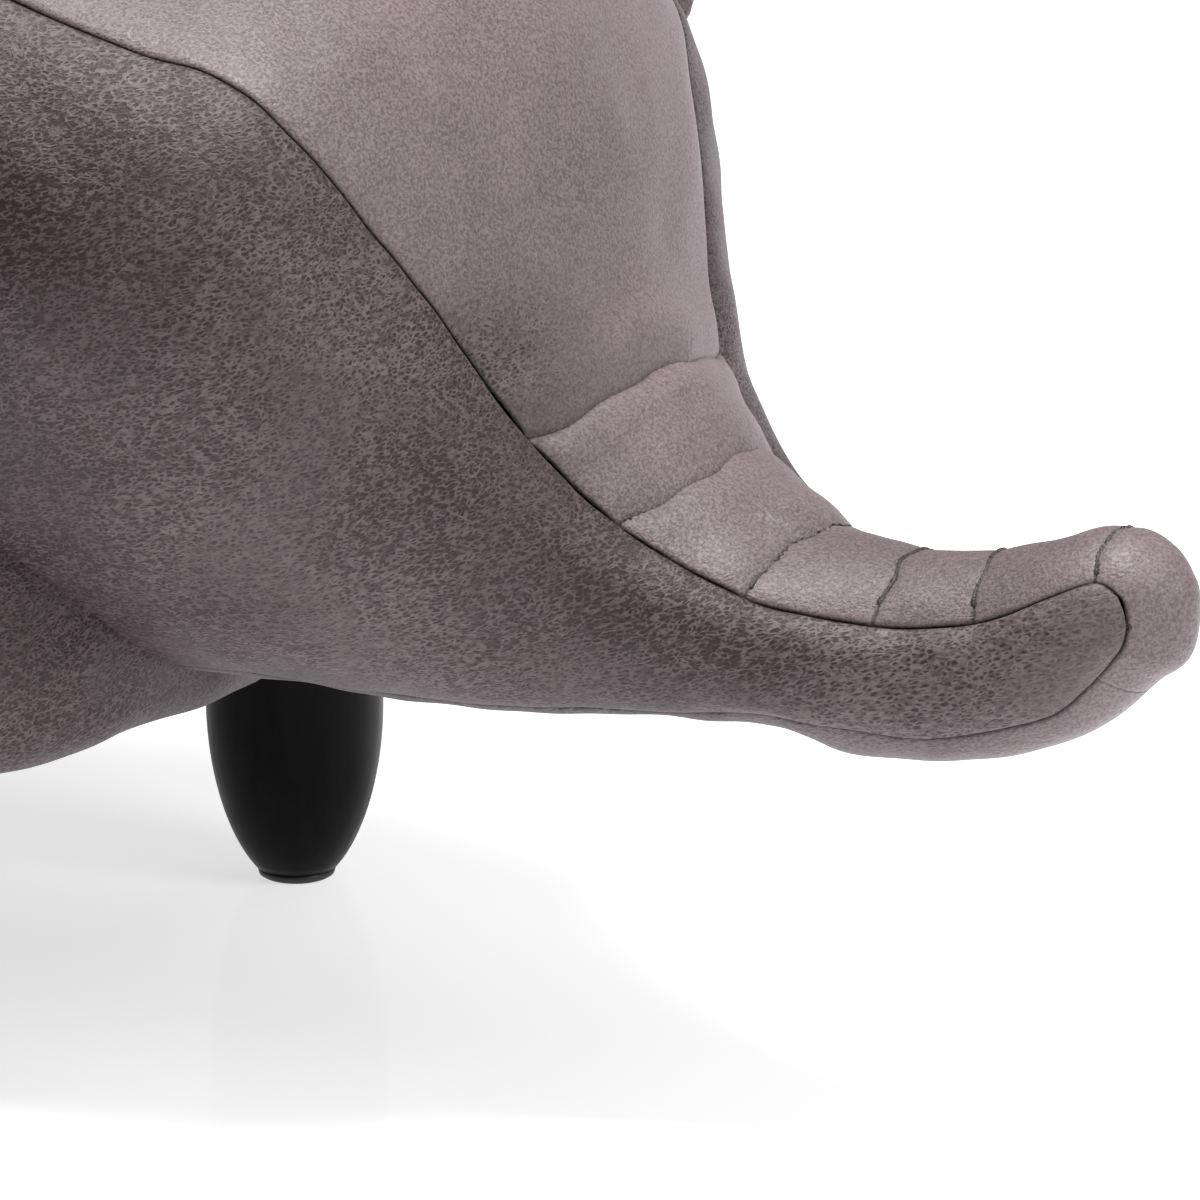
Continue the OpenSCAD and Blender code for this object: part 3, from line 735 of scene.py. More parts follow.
def distressed_leather(name):
    """Grey-mauve artificial leather: small dark pits in a pale network, rubbed suede on top, and
    painted light and shade in its tone.
    """
    f = Finish(name)
    place = f.object_place()
    # wear and painted light in one value: it chooses between pitted and fine grain, and lifts the
    # colour where light is painted on
    wear_and_painted_light = f.attribute("wear_and_painted_light")
    seam = f.attribute("seam")
    # the pits lie along the hide, which is cut at a slant
    slanted = f.object_place(scale=(1.9, 1.4, 0.85), rotation=(0, -0.34, 0),
                             kind="TEXTURE")
    slanted = f.warped(f.warped(slanted, 60, 0.0052), 500, 0.0011)
    network = f.range(f.cells(slanted, 780), 0.04, 0.40, 1.0, 0.0)
    islands = f.range(f.noise(slanted, 640, 2, 0.6), 0.36, 0.62)
    small = f.range(f.noise(f.warped(place, 420, 0.0011), 1000, 2, 0.66), 0.36, 0.64)
    nap = f.noise(place, 1500, 3, 0.72)
    patchy = f.range(f.noise(f.warped(place, 20, 0.02), 21, 2, 0.55), 0.37, 0.60)
    cloud = f.noise(place, 12, 4, 0.62)
    worn = f.range(wear_and_painted_light, 0.04, 0.44, 1.0, 0.0, smooth=False)
    coarse = f.math("MULTIPLY", network, f.math("ADD", f.math("MULTIPLY", islands, 0.55), 0.45))
    # high patches show the pits sharply, low ones are rubbed nearly flat
    sharp = f.math("ADD", f.math("MULTIPLY", patchy, 0.45), 0.55)
    pitted = f.weigh(coarse, sharp, f.math("SUBTRACT", 1.0, sharp), 0.55)
    fine = f.math("ADD", f.math("MULTIPLY", small, 0.66), 0.13)
    grain = f.weigh(pitted, worn, fine, f.math("SUBTRACT", 1.0, worn))
    grain = f.math("ADD", grain, f.math("MULTIPLY", f.math("SUBTRACT", nap, 0.5), 0.60))
    # painted light and shade: this value lifts the colour of lit parts, such as the forehead, and
    # darkens shaded ones, such as the cheeks
    lifted = f.weigh(grain, 0.66, wear_and_painted_light, 1.10)
    lifted = f.math("ADD", lifted, f.range(cloud, 0.3, 0.7, -0.09, 0.09))
    tone = f.mix(f.range(lifted, 0.14, 1.1, 0.0, 1.0, smooth=False),
                 colours().hide_dark, colours().hide_light)
    # darker along seams, partly dirt and partly painted shade of each seam's crack, with painted
    # shade of the fold above each tuck
    seam_dirt_and_painted_shade = f.mix(f.math("MULTIPLY", seam, 0.9, clamp=True), (1, 1, 1), (0.12, 0.09, 0.10))
    f.colour(f.mix(1.0, tone, seam_dirt_and_painted_shade, "MULTIPLY"))
    f.roughness(f.range(lifted, 0.0, 1.0, 0.58, 0.44, smooth=False))
    height = f.weigh(pitted, 0.55, small, 0.25)
    height = f.math("ADD", height, f.math("MULTIPLY", nap, 0.5))
    f.bump(height, 0.00028, 0.7)
    f.set(Specular_IOR_Level=0.34, Sheen_Weight=0.12, Sheen_Roughness=0.38,
          Sheen_Tint=(1.0, 0.88, 0.93, 1))
    return f.material


def black_lacquer(name):
    """Satin black lacquer over turned wood."""
    f = Finish(name)
    place = f.object_place(scale=(1, 1, 0.16))
    grain = f.noise(place, 240, 4, 0.6)
    peel = f.noise(f.object_place(), 620, 2, 0.5)
    lift = tuple(c * 1.6 + 0.0008 for c in colours().lacquer)
    f.colour(f.mix(f.range(grain, 0.35, 0.7), colours().lacquer, lift))
    f.roughness(f.range(grain, 0.3, 0.7, 0.34, 0.44))
    f.bump(f.weigh(grain, 0.6, peel, 0.4), 0.00012, 0.4)
    f.set(Specular_IOR_Level=0.07)
    return f.material


def moulded_plastic(name):
    """Fine matt black moulding, for the floor glides."""
    f = Finish(name)
    place = f.object_place()
    spark = f.noise(place, 1500, 3, 0.6)
    scuff = f.noise(place, 90, 4, 0.6)
    f.colour(f.mix(f.range(scuff, 0.45, 0.75), (0.012, 0.012, 0.012), (0.034, 0.033, 0.032)))
    f.roughness(f.range(scuff, 0.3, 0.7, 0.44, 0.62))
    f.bump(spark, 0.0001, 0.5)
    return f.material


def eye_gloss(name):
    """Deep brown-black glossy eye."""
    f = Finish(name)
    place = f.object_place()
    f.colour(f.mix(f.range(f.noise(place, 90, 2), 0.35, 0.65),
                   (0.008, 0.0055, 0.005), (0.016, 0.010, 0.008)))
    f.roughness(f.range(f.noise(place, 260, 3), 0.3, 0.7, 0.05, 0.09))
    f.set(Coat_Weight=0.6, Coat_Roughness=0.03)
    return f.material


def sewing_thread(name):
    """Twisted black thread."""
    f = Finish(name)
    place = f.object_place()
    twist = f.noise(place, 2600, 2, 0.5)
    f.colour(f.mix(twist, colours().thread, tuple(c * 2.4 for c in colours().thread)))
    f.bump(twist, 0.0002, 0.7)
    f.set(Roughness=0.7, Sheen_Weight=0.15)
    return f.material


def tuft_yarn(name):
    """Dark grey twisted yarn."""
    f = Finish(name)
    place = f.object_place(scale=(1, 1, 0.25))
    fibre = f.noise(place, 1400, 4, 0.65)
    f.colour(f.mix(f.range(fibre, 0.3, 0.7), (0.018, 0.014, 0.015), (0.085, 0.070, 0.074)))
    f.bump(fibre, 0.0003, 0.8)
    f.set(Roughness=0.78, Sheen_Weight=0.3)
    return f.material


def raw_plywood(name):
    """Birch plywood with straight grain and pale plies."""
    f = Finish(name)
    grain = f.noise(f.object_place(scale=(0.06, 1, 1)), 260, 5, 0.6, 0.6)
    plies = f.add("ShaderNodeTexWave", {"Scale": 160, "Distortion": 1.2, "Vector": f.place},
                  wave_type="BANDS", bands_direction="Z")
    wood = f.mix(f.range(grain, 0.3, 0.7), (0.50, 0.34, 0.18), (0.68, 0.52, 0.32))
    f.colour(f.mix(f.math("MULTIPLY", plies.outputs["Fac"], 0.25), wood, (0.36, 0.22, 0.11)))
    f.roughness(f.range(grain, 0.3, 0.7, 0.55, 0.72))
    f.bump(grain, 0.0004, 0.5)
    return f.material


def zinc_plate(name):
    """Zinc-plated steel with a faint bloom."""
    f = Finish(name)
    place = f.object_place()
    bloom = f.noise(place, 180, 4, 0.6)
    f.colour(f.mix(f.range(bloom, 0.3, 0.7), (0.52, 0.53, 0.55), (0.70, 0.70, 0.72)))
    f.roughness(f.range(bloom, 0.3, 0.7, 0.28, 0.44))
    f.bump(bloom, 0.0001, 0.4)
    f.set(Metallic=1.0)
    return f.material


def dust_cloth(name):
    """Black spun-bonded cloth with a bonded dot pattern."""
    f = Finish(name)
    place = f.object_place()
    dots = f.cells(place, 620, "F1", 0.15)
    fibre = f.noise(place, 1500, 4, 0.7)
    f.colour(f.mix(f.range(dots, 0.1, 0.5), (0.010, 0.010, 0.010), (0.034, 0.034, 0.035)))
    f.bump(f.weigh(dots, 0.6, fibre, 0.4), 0.0004, 0.8)
    f.set(Roughness=0.86, Sheen_Weight=0.2)
    return f.material


MAKERS = {
    "grey_leather": distressed_leather,
    "black_lacquer": black_lacquer,
    "black_plastic": moulded_plastic,
    "plywood": raw_plywood,
    "zinc_steel": zinc_plate,
    "eye_plastic": eye_gloss,
    "dust_cloth": dust_cloth,
    "tuft_yarn": tuft_yarn,
}


def slot_finish(slot):
    return finish_of(slot, MAKERS[slot])


# ---------------------------------------------------------------- stitches


def stitch_line(points, normals, sink=0.0):
    """Places of stitches along a polyline: (middle, direction, normal) for each."""
    step = np.linalg.norm(np.diff(points, axis=0), axis=1)
    far = np.concatenate([[0], np.cumsum(step)])
    length = sewing().stitch_length
    count = max(1, int(far[-1] / (length * 1.25)))
    middles = (np.arange(count) + 0.5) * far[-1] / count
    at = lambda field, d: np.stack([np.interp(d, far, field[:, c]) for c in range(3)], -1)
    place = at(points, middles)
    ahead = unit(at(points, middles + length / 3) - at(points, middles - length / 3))
    up = unit(at(normals, middles))
    return [(p - n * sink, d, n) for p, d, n in zip(place, ahead, up)]


def edge_stitches(patch, rows, sink):
    """Places of stitches along both side edges, standing on the leather just inside them."""
    n = patch.normals()
    places = []
    for edge, inside in ((0, 2), (-1, -3)):
        places += stitch_line(patch.points[rows, edge], n[rows, inside], sink)
    return places


def stitches(name, places, body):
    """One object of many small rounded stitches."""
    s = sewing()
    seed = bmesh.new()
    bmesh.ops.create_icosphere(seed, subdivisions=1, radius=1)
    for v in seed.verts:
        v.co.x *= s.stitch_length / 2
        v.co.y *= s.thread_width * 0.62
        v.co.z *= s.thread_width * 0.5
    stitch = mesh_of(seed, "stitch")
    bm = bmesh.new()
    for middle, ahead, up in places:
        x = Vector(ahead).normalized()
        y = Vector(up).cross(x).normalized()
        z = x.cross(y)
        first = len(bm.verts)
        bm.from_mesh(stitch)
        bm.verts.ensure_lookup_table()
        turn = Matrix((x, y, z)).transposed().to_4x4()
        bmesh.ops.transform(bm, matrix=Matrix.Translation(Vector(middle)) @ turn,
                            verts=bm.verts[first:])
    bpy.data.meshes.remove(stitch)
    obj = shown(name, mesh_of(bm, name), finish_of("sewing_thread", sewing_thread))
    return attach(obj, body)


# ---------------------------------------------------------------- operators


class STOOL_OT_stage(bpy.types.Operator):
    """Camera, floor and soft studio light"""

    bl_idname = "stool.stage"
    bl_label = "Stage"

    def execute(self, context):
        stage = context.scene.stool_stage
        self.camera(context, stage)
        self.floor()
        self.room(context, stage)
        middle = Vector((0.05, 0, 0.2))
        self.softbox("overhead", (0.14, -0.24, 1.9), middle, (1.1, 0.5), stage.key_power)
        self.softbox("front", (1.8, -0.05, 1.15), middle, (0.9, 0.9), stage.front_power)
        self.softbox("rear", (0.35, 1.7, 1.3), middle, (1.3, 0.5), stage.rim_power,
                     (0.93, 0.95, 1.0))
        context.scene.view_settings.view_transform = "Standard"
        return {"FINISHED"}

    def camera(self, context, stage):
        data = bpy.data.cameras.new("camera")
        data.lens = stage.lens
        data.sensor_width = 36
        data.clip_end = 50
        obj = bpy.data.objects.new("camera", data)
        context.scene.collection.objects.link(obj)
        a, e = stage.camera_azimuth, stage.camera_elevation
        back = Vector((math.sin(a) * math.cos(e), -math.cos(a) * math.cos(e), math.sin(e)))
        obj.location = stage.camera_place
        obj.rotation_euler = back.to_track_quat("Z", "Y").to_euler()
        context.scene.camera = obj

    def floor(self):
        bm = bmesh.new()
        bmesh.ops.create_grid(bm, x_segments=1, y_segments=1, size=14)
        bmesh.ops.translate(bm, verts=bm.verts, vec=(0, 0, FLOOR_Z - 0.0002))
        f = Finish("studio_floor")
        tint = f.noise(f.object_place(), 3, 2)
        pale = tuple(colours().floor)
        f.colour(f.mix(tint, pale, tuple(c * 0.985 for c in pale)))
        f.set(Roughness=0.07, Specular_IOR_Level=0.22, Emission_Color=(1, 1, 1, 1),
              Emission_Strength=bpy.context.scene.stool_stage.floor_glow)
        shown("studio_floor", mesh_of(bm, "studio_floor"), f.material)

    def room(self, context, stage):
        world = bpy.data.worlds.new("room")
        world.use_nodes = True
        sky = world.node_tree.nodes["Background"]
        sky.inputs["Color"].default_value = (0.985, 0.99, 1.0, 1)
        sky.inputs["Strength"].default_value = stage.sky
        context.scene.world = world

    def softbox(self, name, place, target, size, power, colour=(1, 1, 1)):
        data = bpy.data.lights.new(name, "AREA")
        data.shape = "RECTANGLE"
        data.size, data.size_y = size
        data.energy = power
        data.color = colour
        obj = bpy.data.objects.new(name, data)
        obj.location = place
        obj.rotation_euler = (Vector(place) - target).to_track_quat("Z", "Y").to_euler()
        bpy.context.scene.collection.objects.link(obj)


class STOOL_OT_head(bpy.types.Operator):
    """Forehead, cheeks, trunk and chin, sewn from four panels and settled as cloth"""

    bl_idname = "stool.head"
    bl_label = "Head and trunk"

    def execute(self, context):
        tuck_at = [t[0] for t in TUCKS]
        wrap = 2.6
        top_rows = spread_list(-1, TIP + wrap, 430, tuck_at, 0.16, 5.0)
        side_rows = spread_list(-1, TIP, 330, [TIP], 0.3, 2.0)
        chin_rows = spread_list(-1, TIP - wrap, 260)
        top = Patch("forehead_leather", self.top_surface,
                    top_rows, spread_list(0, 1, 104, edges=4.0), flip=True)
        left = Patch("cheek_leather_left", lambda s, f: side_point(s, f, 1),
                     side_rows, spread_list(0, 1, 108, edges=4.0))
        right = Patch("cheek_leather_right", lambda s, f: side_point(s, f, -1),
                      side_rows, spread_list(0, 1, 108, edges=4.0), flip=True)
        chin = Patch("chin_leather", lower_point, chin_rows,
                     spread_list(0, 1, 64, edges=4.0))
        self.patches = [top, left, right, chin]
        settle(self.patches, cap=0.0045)
        self.sewn(top, left, right, chin)
        return {"FINISHED"}

    @staticmethod
    def top_surface(s, f):
        """The upper surface, and past the tip the first stretch of the lower one."""
        return np.where((s <= TIP)[..., None], upper_point(np.minimum(s, TIP), f),
                        lower_point(np.minimum(TIP, 2 * TIP - s), f))

    def sewn(self, top, left, right, chin):
        for p in self.patches:
            p.push(0.0009 * ripples(p.points, 0.075, 3) + 0.00028 * ripples(p.points, 0.022, 8))
        self.tucks(top)
        for p in self.patches:
            p.near = p.near_edge(*SIDE_EDGES)
            p.push(seam_dip(p.near) + sewing().fullness)
        for p, nodes in ((top, ["forehead_panel", "head_filling", "trunk_filling"]),
                         (left, ["head_panel_left"]), (right, ["head_panel_right"]),
                         (chin, ["chin_panel"])):
            # painted shade: a dark line along each seam, partly dirt, and on the forehead the
            # painted shade of each tuck's fold
            dark = np.exp(-(p.near / SEAM_SHADE) ** 2)
            if p is top:
                dark = dark + self.tuck_dark(top)
            obj = leather_piece(p, self.wear_and_painted_light(p), dark)
            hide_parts(*nodes)
            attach(obj, "stool")
        seams = edge_stitches(top, slice(20, -14), STITCH_SINK)
        seams += edge_stitches(chin, slice(20, None), STITCH_SINK)
        stitches("head_seam_stitches", seams, "stool")
        self.tuck_stitches(top)

    def tuck_line(self, f, number):
        """Station of a tuck across the panel: hand-sewn, so it wanders a little."""
        station = TUCKS[number][0]
        return station + 0.035 * np.sin(f * 9 + number * 2.1) + 0.02 * np.sin(f * 23 + number)

    def tuck_distance(self, top, number):
        """Signed distance of each point from a tuck, positive towards the tip."""
        far = top.edge_distance(0, 0)
        line = self.tuck_line(top.cols, number)
        at = np.array([np.interp(line[k], top.rows, far[:, k]) for k in range(len(top.cols))])
        return far - at[None, :]

    def tucks(self, top):
        """Folds, seams and puckers across the trunk."""
        s = sewing()
        across = top.edge_distance(1, 0)
        width = across[:, -1:]
        middle = np.clip(np.minimum(across, width - across) / 0.009, 0, 1) ** 0.6
        lift = np.zeros(top.s.shape)
        lean = np.zeros(top.s.shape)
        along = unit(np.gradient(top.points, axis=0))
        for number, (_, share, fold) in enumerate(TUCKS):
            d = self.tuck_distance(top, number)
            depth = share * s.tuck_depth
            above, below = np.minimum(d, 0), np.maximum(d, 0)
            groove = -0.55 * depth * np.exp(-np.abs(d) / 0.0011)
            rise = 0.50 * depth * np.exp(-((above + 0.010) / 0.008) ** 2) * (d < 0)
            ease = -0.45 * depth * np.exp(np.where(d < 0, d / 0.0035, -d / 0.0026))
            swell = 0.30 * depth * np.exp(-((below - 0.009) / 0.006) ** 2) * (d >= 0)
            pucker = np.sin(across / 0.0030 + 2.2 * np.sin(across / 0.009 + number))
            pucker *= 0.06 * depth * np.exp(-np.abs(d) / 0.004)
            lift += (groove + rise + ease + swell + pucker) * middle
            lean += fold * np.exp(-((above + 0.002) / 0.005) ** 2) * middle * (d < 0)
        # a soft ridge between the first two tucks, and crumples before the third
        ridge = 0.0011 * np.exp(-((top.s - 8.55) / 0.16) ** 2) * np.sin(top.f * math.pi) ** 2
        crumple = 0.0010 * np.exp(-((top.s - 9.8) / 0.22) ** 2 - ((top.f - 0.52) / 0.16) ** 2)
        crumple = crumple * np.sin(top.f * 46 + top.s * 9)
        top.push(lift + ridge + crumple)
        top.points = top.points + along * lean[..., None]

    def tuck_dark(self, top):
        """The dark line in each tuck, and the shade on the side towards the neck."""
        dark = np.zeros(top.s.shape)
        for number, (_, share, _) in enumerate(TUCKS):
            d = self.tuck_distance(top, number)
            dark += np.exp(-(d / 0.0007) ** 2)
            dark += 0.42 * share ** 2 * np.exp(-((d + 0.0024) / 0.0022) ** 2)
        return np.clip(dark, 0, 1)

    @staticmethod
    def wear_and_painted_light(patch):
        """Wear and painted light in one tone: the forehead is set much lighter than the cheeks
        for the light from above, with a painted highlight most along its left rim; painted shade
        near the neck and above the first tuck; lighter towards the trunk tip.
        """
        trunk_tip = smooth_step(patch.s, 9.5, 15.0)
        if patch.name == "chin_leather":
            # painted light under the trunk tip, as from the floor below
            return 0.42 * trunk_tip - 0.02 + 0 * patch.f
        if patch.name != "forehead_leather":
            # painted shade on the cheeks near the neck, under the ear
            neck = 0.07 * (1 - smooth_step(patch.s, 1.2, 4.5))
            return 0.13 * trunk_tip - 0.03 - neck + 0 * patch.f
        # painted highlight along the forehead's left rim
        rim = 0.17 * (1 - smooth_step(patch.f, 0.0, 0.6)) * (1 - trunk_tip)
        trunk = 0.02 * smooth_step(patch.s, 7.6, 8.6) - 0.12 * smooth_step(patch.s, 9.2, 11.6)
        trunk = trunk + 0.14 * smooth_step(patch.s, 13.0, 15.5)
        # painted shade on the crown by the neck
        crown = -0.22 * (1 - smooth_step(patch.s, 1.2, 3.2))
        # painted shade in the hollow above the first tuck
        hollow = np.exp(-((patch.s - 6.8) / 1.3) ** 2) * smooth_step(patch.f, 0.35, 0.95)
        # the forehead's base tone stands far above the cheeks': painted light from above
        return 0.43 + trunk + crown + rim - 0.36 * hollow

    def tuck_stitches(self, top):
        places = []
        n = top.normals()
        for number in range(len(TUCKS)):
            line = self.tuck_line(top.cols, number)
            inner = slice(4, len(top.cols) - 4)
            pick = lambda field: np.stack([
                [np.interp(line[k], top.rows, field[:, k, c]) for c in range(3)]
                for k in range(*inner.indices(len(top.cols)))])
            places += stitch_line(pick(top.points), unit(pick(box_blur(n, 0, 4))),
                                  STITCH_SINK)
        stitches("tuck_stitches", places, "stool")


class STOOL_OT_torso(bpy.types.Operator):
    """Side covers and seat, sewn together and settled as cloth"""

    bl_idname = "stool.torso"
    bl_label = "Torso and seat"

    def execute(self, context):
        # below 0 the leather wraps under the base
        heights = spread_list(-UNDER_WRAP, 1, 150, [0.0], 0.05, 3.0, edges=3.0)
        right = Patch("side_leather_right", self.side_surface(-1), heights,
                      spread_list(0, 1, 250, edges=3.0))
        left = Patch("side_leather_left", self.side_surface(1), heights,
                     spread_list(0, 1, 250, edges=3.0), flip=True)
        cells = spread_list(-1, 1, 210, edges=3.0)
        seat = Patch("seat_leather", self.seat_surface, cells, cells)
        settle([right, left], cap=0.006, grid=(22, 60))
        settle([seat], cap=0.006, grid=(40, 40))
        self.sewn(left, right, seat)
        return {"FINISHED"}

    @staticmethod
    def side_surface(side):
        def surface(v, f):
            t = side * math.pi * f
            z = lerp(BASE_Z, SEAM_Z, np.clip(v, 0, 1))
            p = torso_side_point(z, t)
            under = np.clip(-v / UNDER_WRAP, 0, 1)[..., None]
            middle = np.array([TORSO_X, 0, BASE_Z - 0.0012])
            return lerp(p, middle, 0.10 * under)
        return surface

    @staticmethod
    def seat_surface(a, b):
        """A square grid drawn round the seat's outline, so that it has no pole."""
        ring = np.maximum(np.abs(a), np.abs(b))
        safe = np.maximum(ring, 1e-6)
        quarter = math.pi / 4
        t = np.where(np.abs(a) >= np.abs(b),
                     np.where(a > 0, b / safe * quarter, math.pi - b / safe * quarter),
                     np.where(b > 0, math.pi / 2 - a / safe * quarter,
                              -math.pi / 2 + a / safe * quarter))
        return seat_point(ring, t)

    def sewn(self, left, right, seat):
        for p in (left, right, seat):
            p.push(0.0012 * ripples(p.points, 0.09, 3) + 0.0003 * ripples(p.points, 0.026, 8))
        places = []
        for p, name in ((left, "left"), (right, "right")):
            near = p.near_edge(*SIDE_EDGES, LAST_ROW)
            dip = seam_dip(near) + sewing().fullness
            dip = dip + self.gathers(p, p.edge_distance(*LAST_ROW))
            p.push(dip * smooth_step(p.s, 0.0, 0.06))
            # painted shade: the sides' tone is set below the seat's
            obj = leather_piece(p, -0.05, np.exp(-(near / SEAM_SHADE) ** 2))
            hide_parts(f"side_cover_{name}", f"side_foam_{name}")
            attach(obj, "stool")
            places += stitch_line(p.points[-1], p.normals()[-3], 0.0001)
        places += edge_stitches(left, slice(12, None), 0.0001)
        ring = np.maximum(np.abs(seat.s), np.abs(seat.f))
        edge = seat.near_edge(FIRST_ROW, LAST_ROW, *SIDE_EDGES)
        seat.push(seam_dip(edge) + sewing().fullness + self.sit(seat, ring))
        # painted light: the seat's tone is set lighter than the sides', for the light from above
        obj = leather_piece(seat, 0.25, np.exp(-(edge / SEAM_SHADE) ** 2))
        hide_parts("seat_cover", "seat_foam", "chest_foam", "rump_foam")
        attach(obj, "stool")
        stitches("torso_seam_stitches", places, "stool")

    @staticmethod
    def gathers(p, seat_edge):
        """Soft upright gathers under the seat seam."""
        wave = ripples(p.points * np.array([1, 1, 0.15]), 0.030, 21)
        return 0.0007 * wave * np.exp(-seat_edge / 0.030)

    @staticmethod
    def sit(seat, ring):
        """A slight hollow where people sit, and creases that run in from the corners."""
        hollow = -0.0012 * np.exp(-(ring / 0.55) ** 4)
        wave = ripples(seat.points, 0.045, 31)
        return hollow + 0.0005 * wave * smooth_step(ring, 0.45, 0.95)


class STOOL_OT_ears(bpy.types.Operator):
    """Cupped ears, each sewn from a front and a back"""

    bl_idname = "stool.ears"
    bl_label = "Ears"

    def execute(self, context):
        for name, side in (("left", 1), ("right", -1)):
            self.ear(name, side)
        return {"FINISHED"}

    def ear(self, name, side):
        rows = spread_list(-0.12, 1, 120, edges=3.0)
        cols = spread_list(-1, 1, 130, edges=3.0)
        place = np.array(ear_place(side))
        places = []
        for face, label in ((1, "front"), (-1, "back")):
            def surface(a, b, face=face):
                reach, height = ear_outline(a, b)
                off = self.swell(a, b, reach, height) * face
                wave = 0.0024 * np.sin(height / 0.026 + 0.8) * smooth_step(reach, 0.3, 1.0)
                local = ear_point(reach, height, off + wave)
                return local @ place[:3, :3].T + place[:3, 3]
            flip = (face > 0) != (side > 0)
            patch = Patch(f"ear_leather_{name}_{label}", surface, rows, cols, flip=flip)
            edge = patch.near_edge(*SIDE_EDGES, LAST_ROW)
            inside = smooth_step(edge, 0.0, 0.012)
            patch.push((0.0009 * ripples(patch.points, 0.045, 5)
                        + 0.0004 * ripples(patch.points, 0.016, 11)) * inside)
            obj = leather_piece(patch, 0.12, 0.8 * np.exp(-(edge / 0.0008) ** 2))
            nodes = [f"ear_{name}_{label}"]
            if face == 1:
                nodes.append(f"ear_{name}_wadding")
            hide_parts(*nodes)
            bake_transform(obj)
            if face == 1:
                n = patch.normals()
                rim = [(patch.points[14:, 0], n[14:, 3]), (patch.points[-1], n[-4]),
                       (patch.points[14:, -1], n[14:, -4])]
                for points, normals in rim:
                    places += stitch_line(points, normals, 0.0)
        stitches(f"ear_stitches_{name}", places, f"ear_{name}")

    @staticmethod
    def swell(a, b, reach, height):
        """Half thickness: full in the middle, closed in a round edge, pinched at the root."""
        half = np.where(reach < EAR_WIDEST,
                        lerp(EAR_ROOT_H, EAR_HALF_H,
                             np.sin(np.clip(reach / EAR_WIDEST, 0, 1) * math.pi / 2)), EAR_HALF_H)
        out = np.clip((reach - EAR_WIDEST) / (1 - EAR_WIDEST), 0, 1)
        radius = np.sqrt(out ** 2 + (height / half) ** 2)
        rim = np.clip((1 - radius) * half / 0.016, 0, 1)
        round_edge = np.sqrt(1 - (1 - rim) ** 2)
        root = lerp(0.32, 1.0, smooth_step(reach, 0.0, 0.22))
        return EAR_THICKNESS / 2 * round_edge * root


class STOOL_OT_eyes(bpy.types.Operator):
    """Domed glossy eyes with a seated rim"""

    bl_idname = "stool.eyes"
    bl_label = "Eyes"

    def execute(self, context):
        for name, side in (("left", 1), ("right", -1)):
            self.eye(name, side)
        return {"FINISHED"}

    def eye(self, name, side):
        station, height, radius = 1.15, 0.17, 0.010
        p = side_point(np.array(station), np.array(height), side)
        du = side_point(np.array(station + 0.1), np.array(height), side) - p
        dv = side_point(np.array(station), np.array(height + 0.02), side) - p
        out = Vector(np.cross(du, dv) * side).normalized()
        rim, dome, proud = 0.0020, 0.0052, 0.0018
        outline = [(radius * 0.90, -0.001), (radius, 0.0006), (radius, rim)]
        outline += [(radius * math.cos(a), rim + dome * math.sin(a))
                    for a in np.radians(np.arange(10, 91, 8))]
        outline.append((0, rim + dome))
        bm = lathe([(r, z + proud) for r, z in outline], 64)
        turn = out.to_track_quat("Z", "Y").to_matrix().to_4x4()
        bmesh.ops.transform(bm, matrix=Matrix.Translation(Vector(p)) @ turn, verts=bm.verts)
        mesh = mesh_of(bm, f"eye_dome_{name}")
        obj = shown(f"eye_dome_{name}", mesh, slot_finish("eye_plastic"))
        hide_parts(f"eye_{name}")
        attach(obj, "stool")


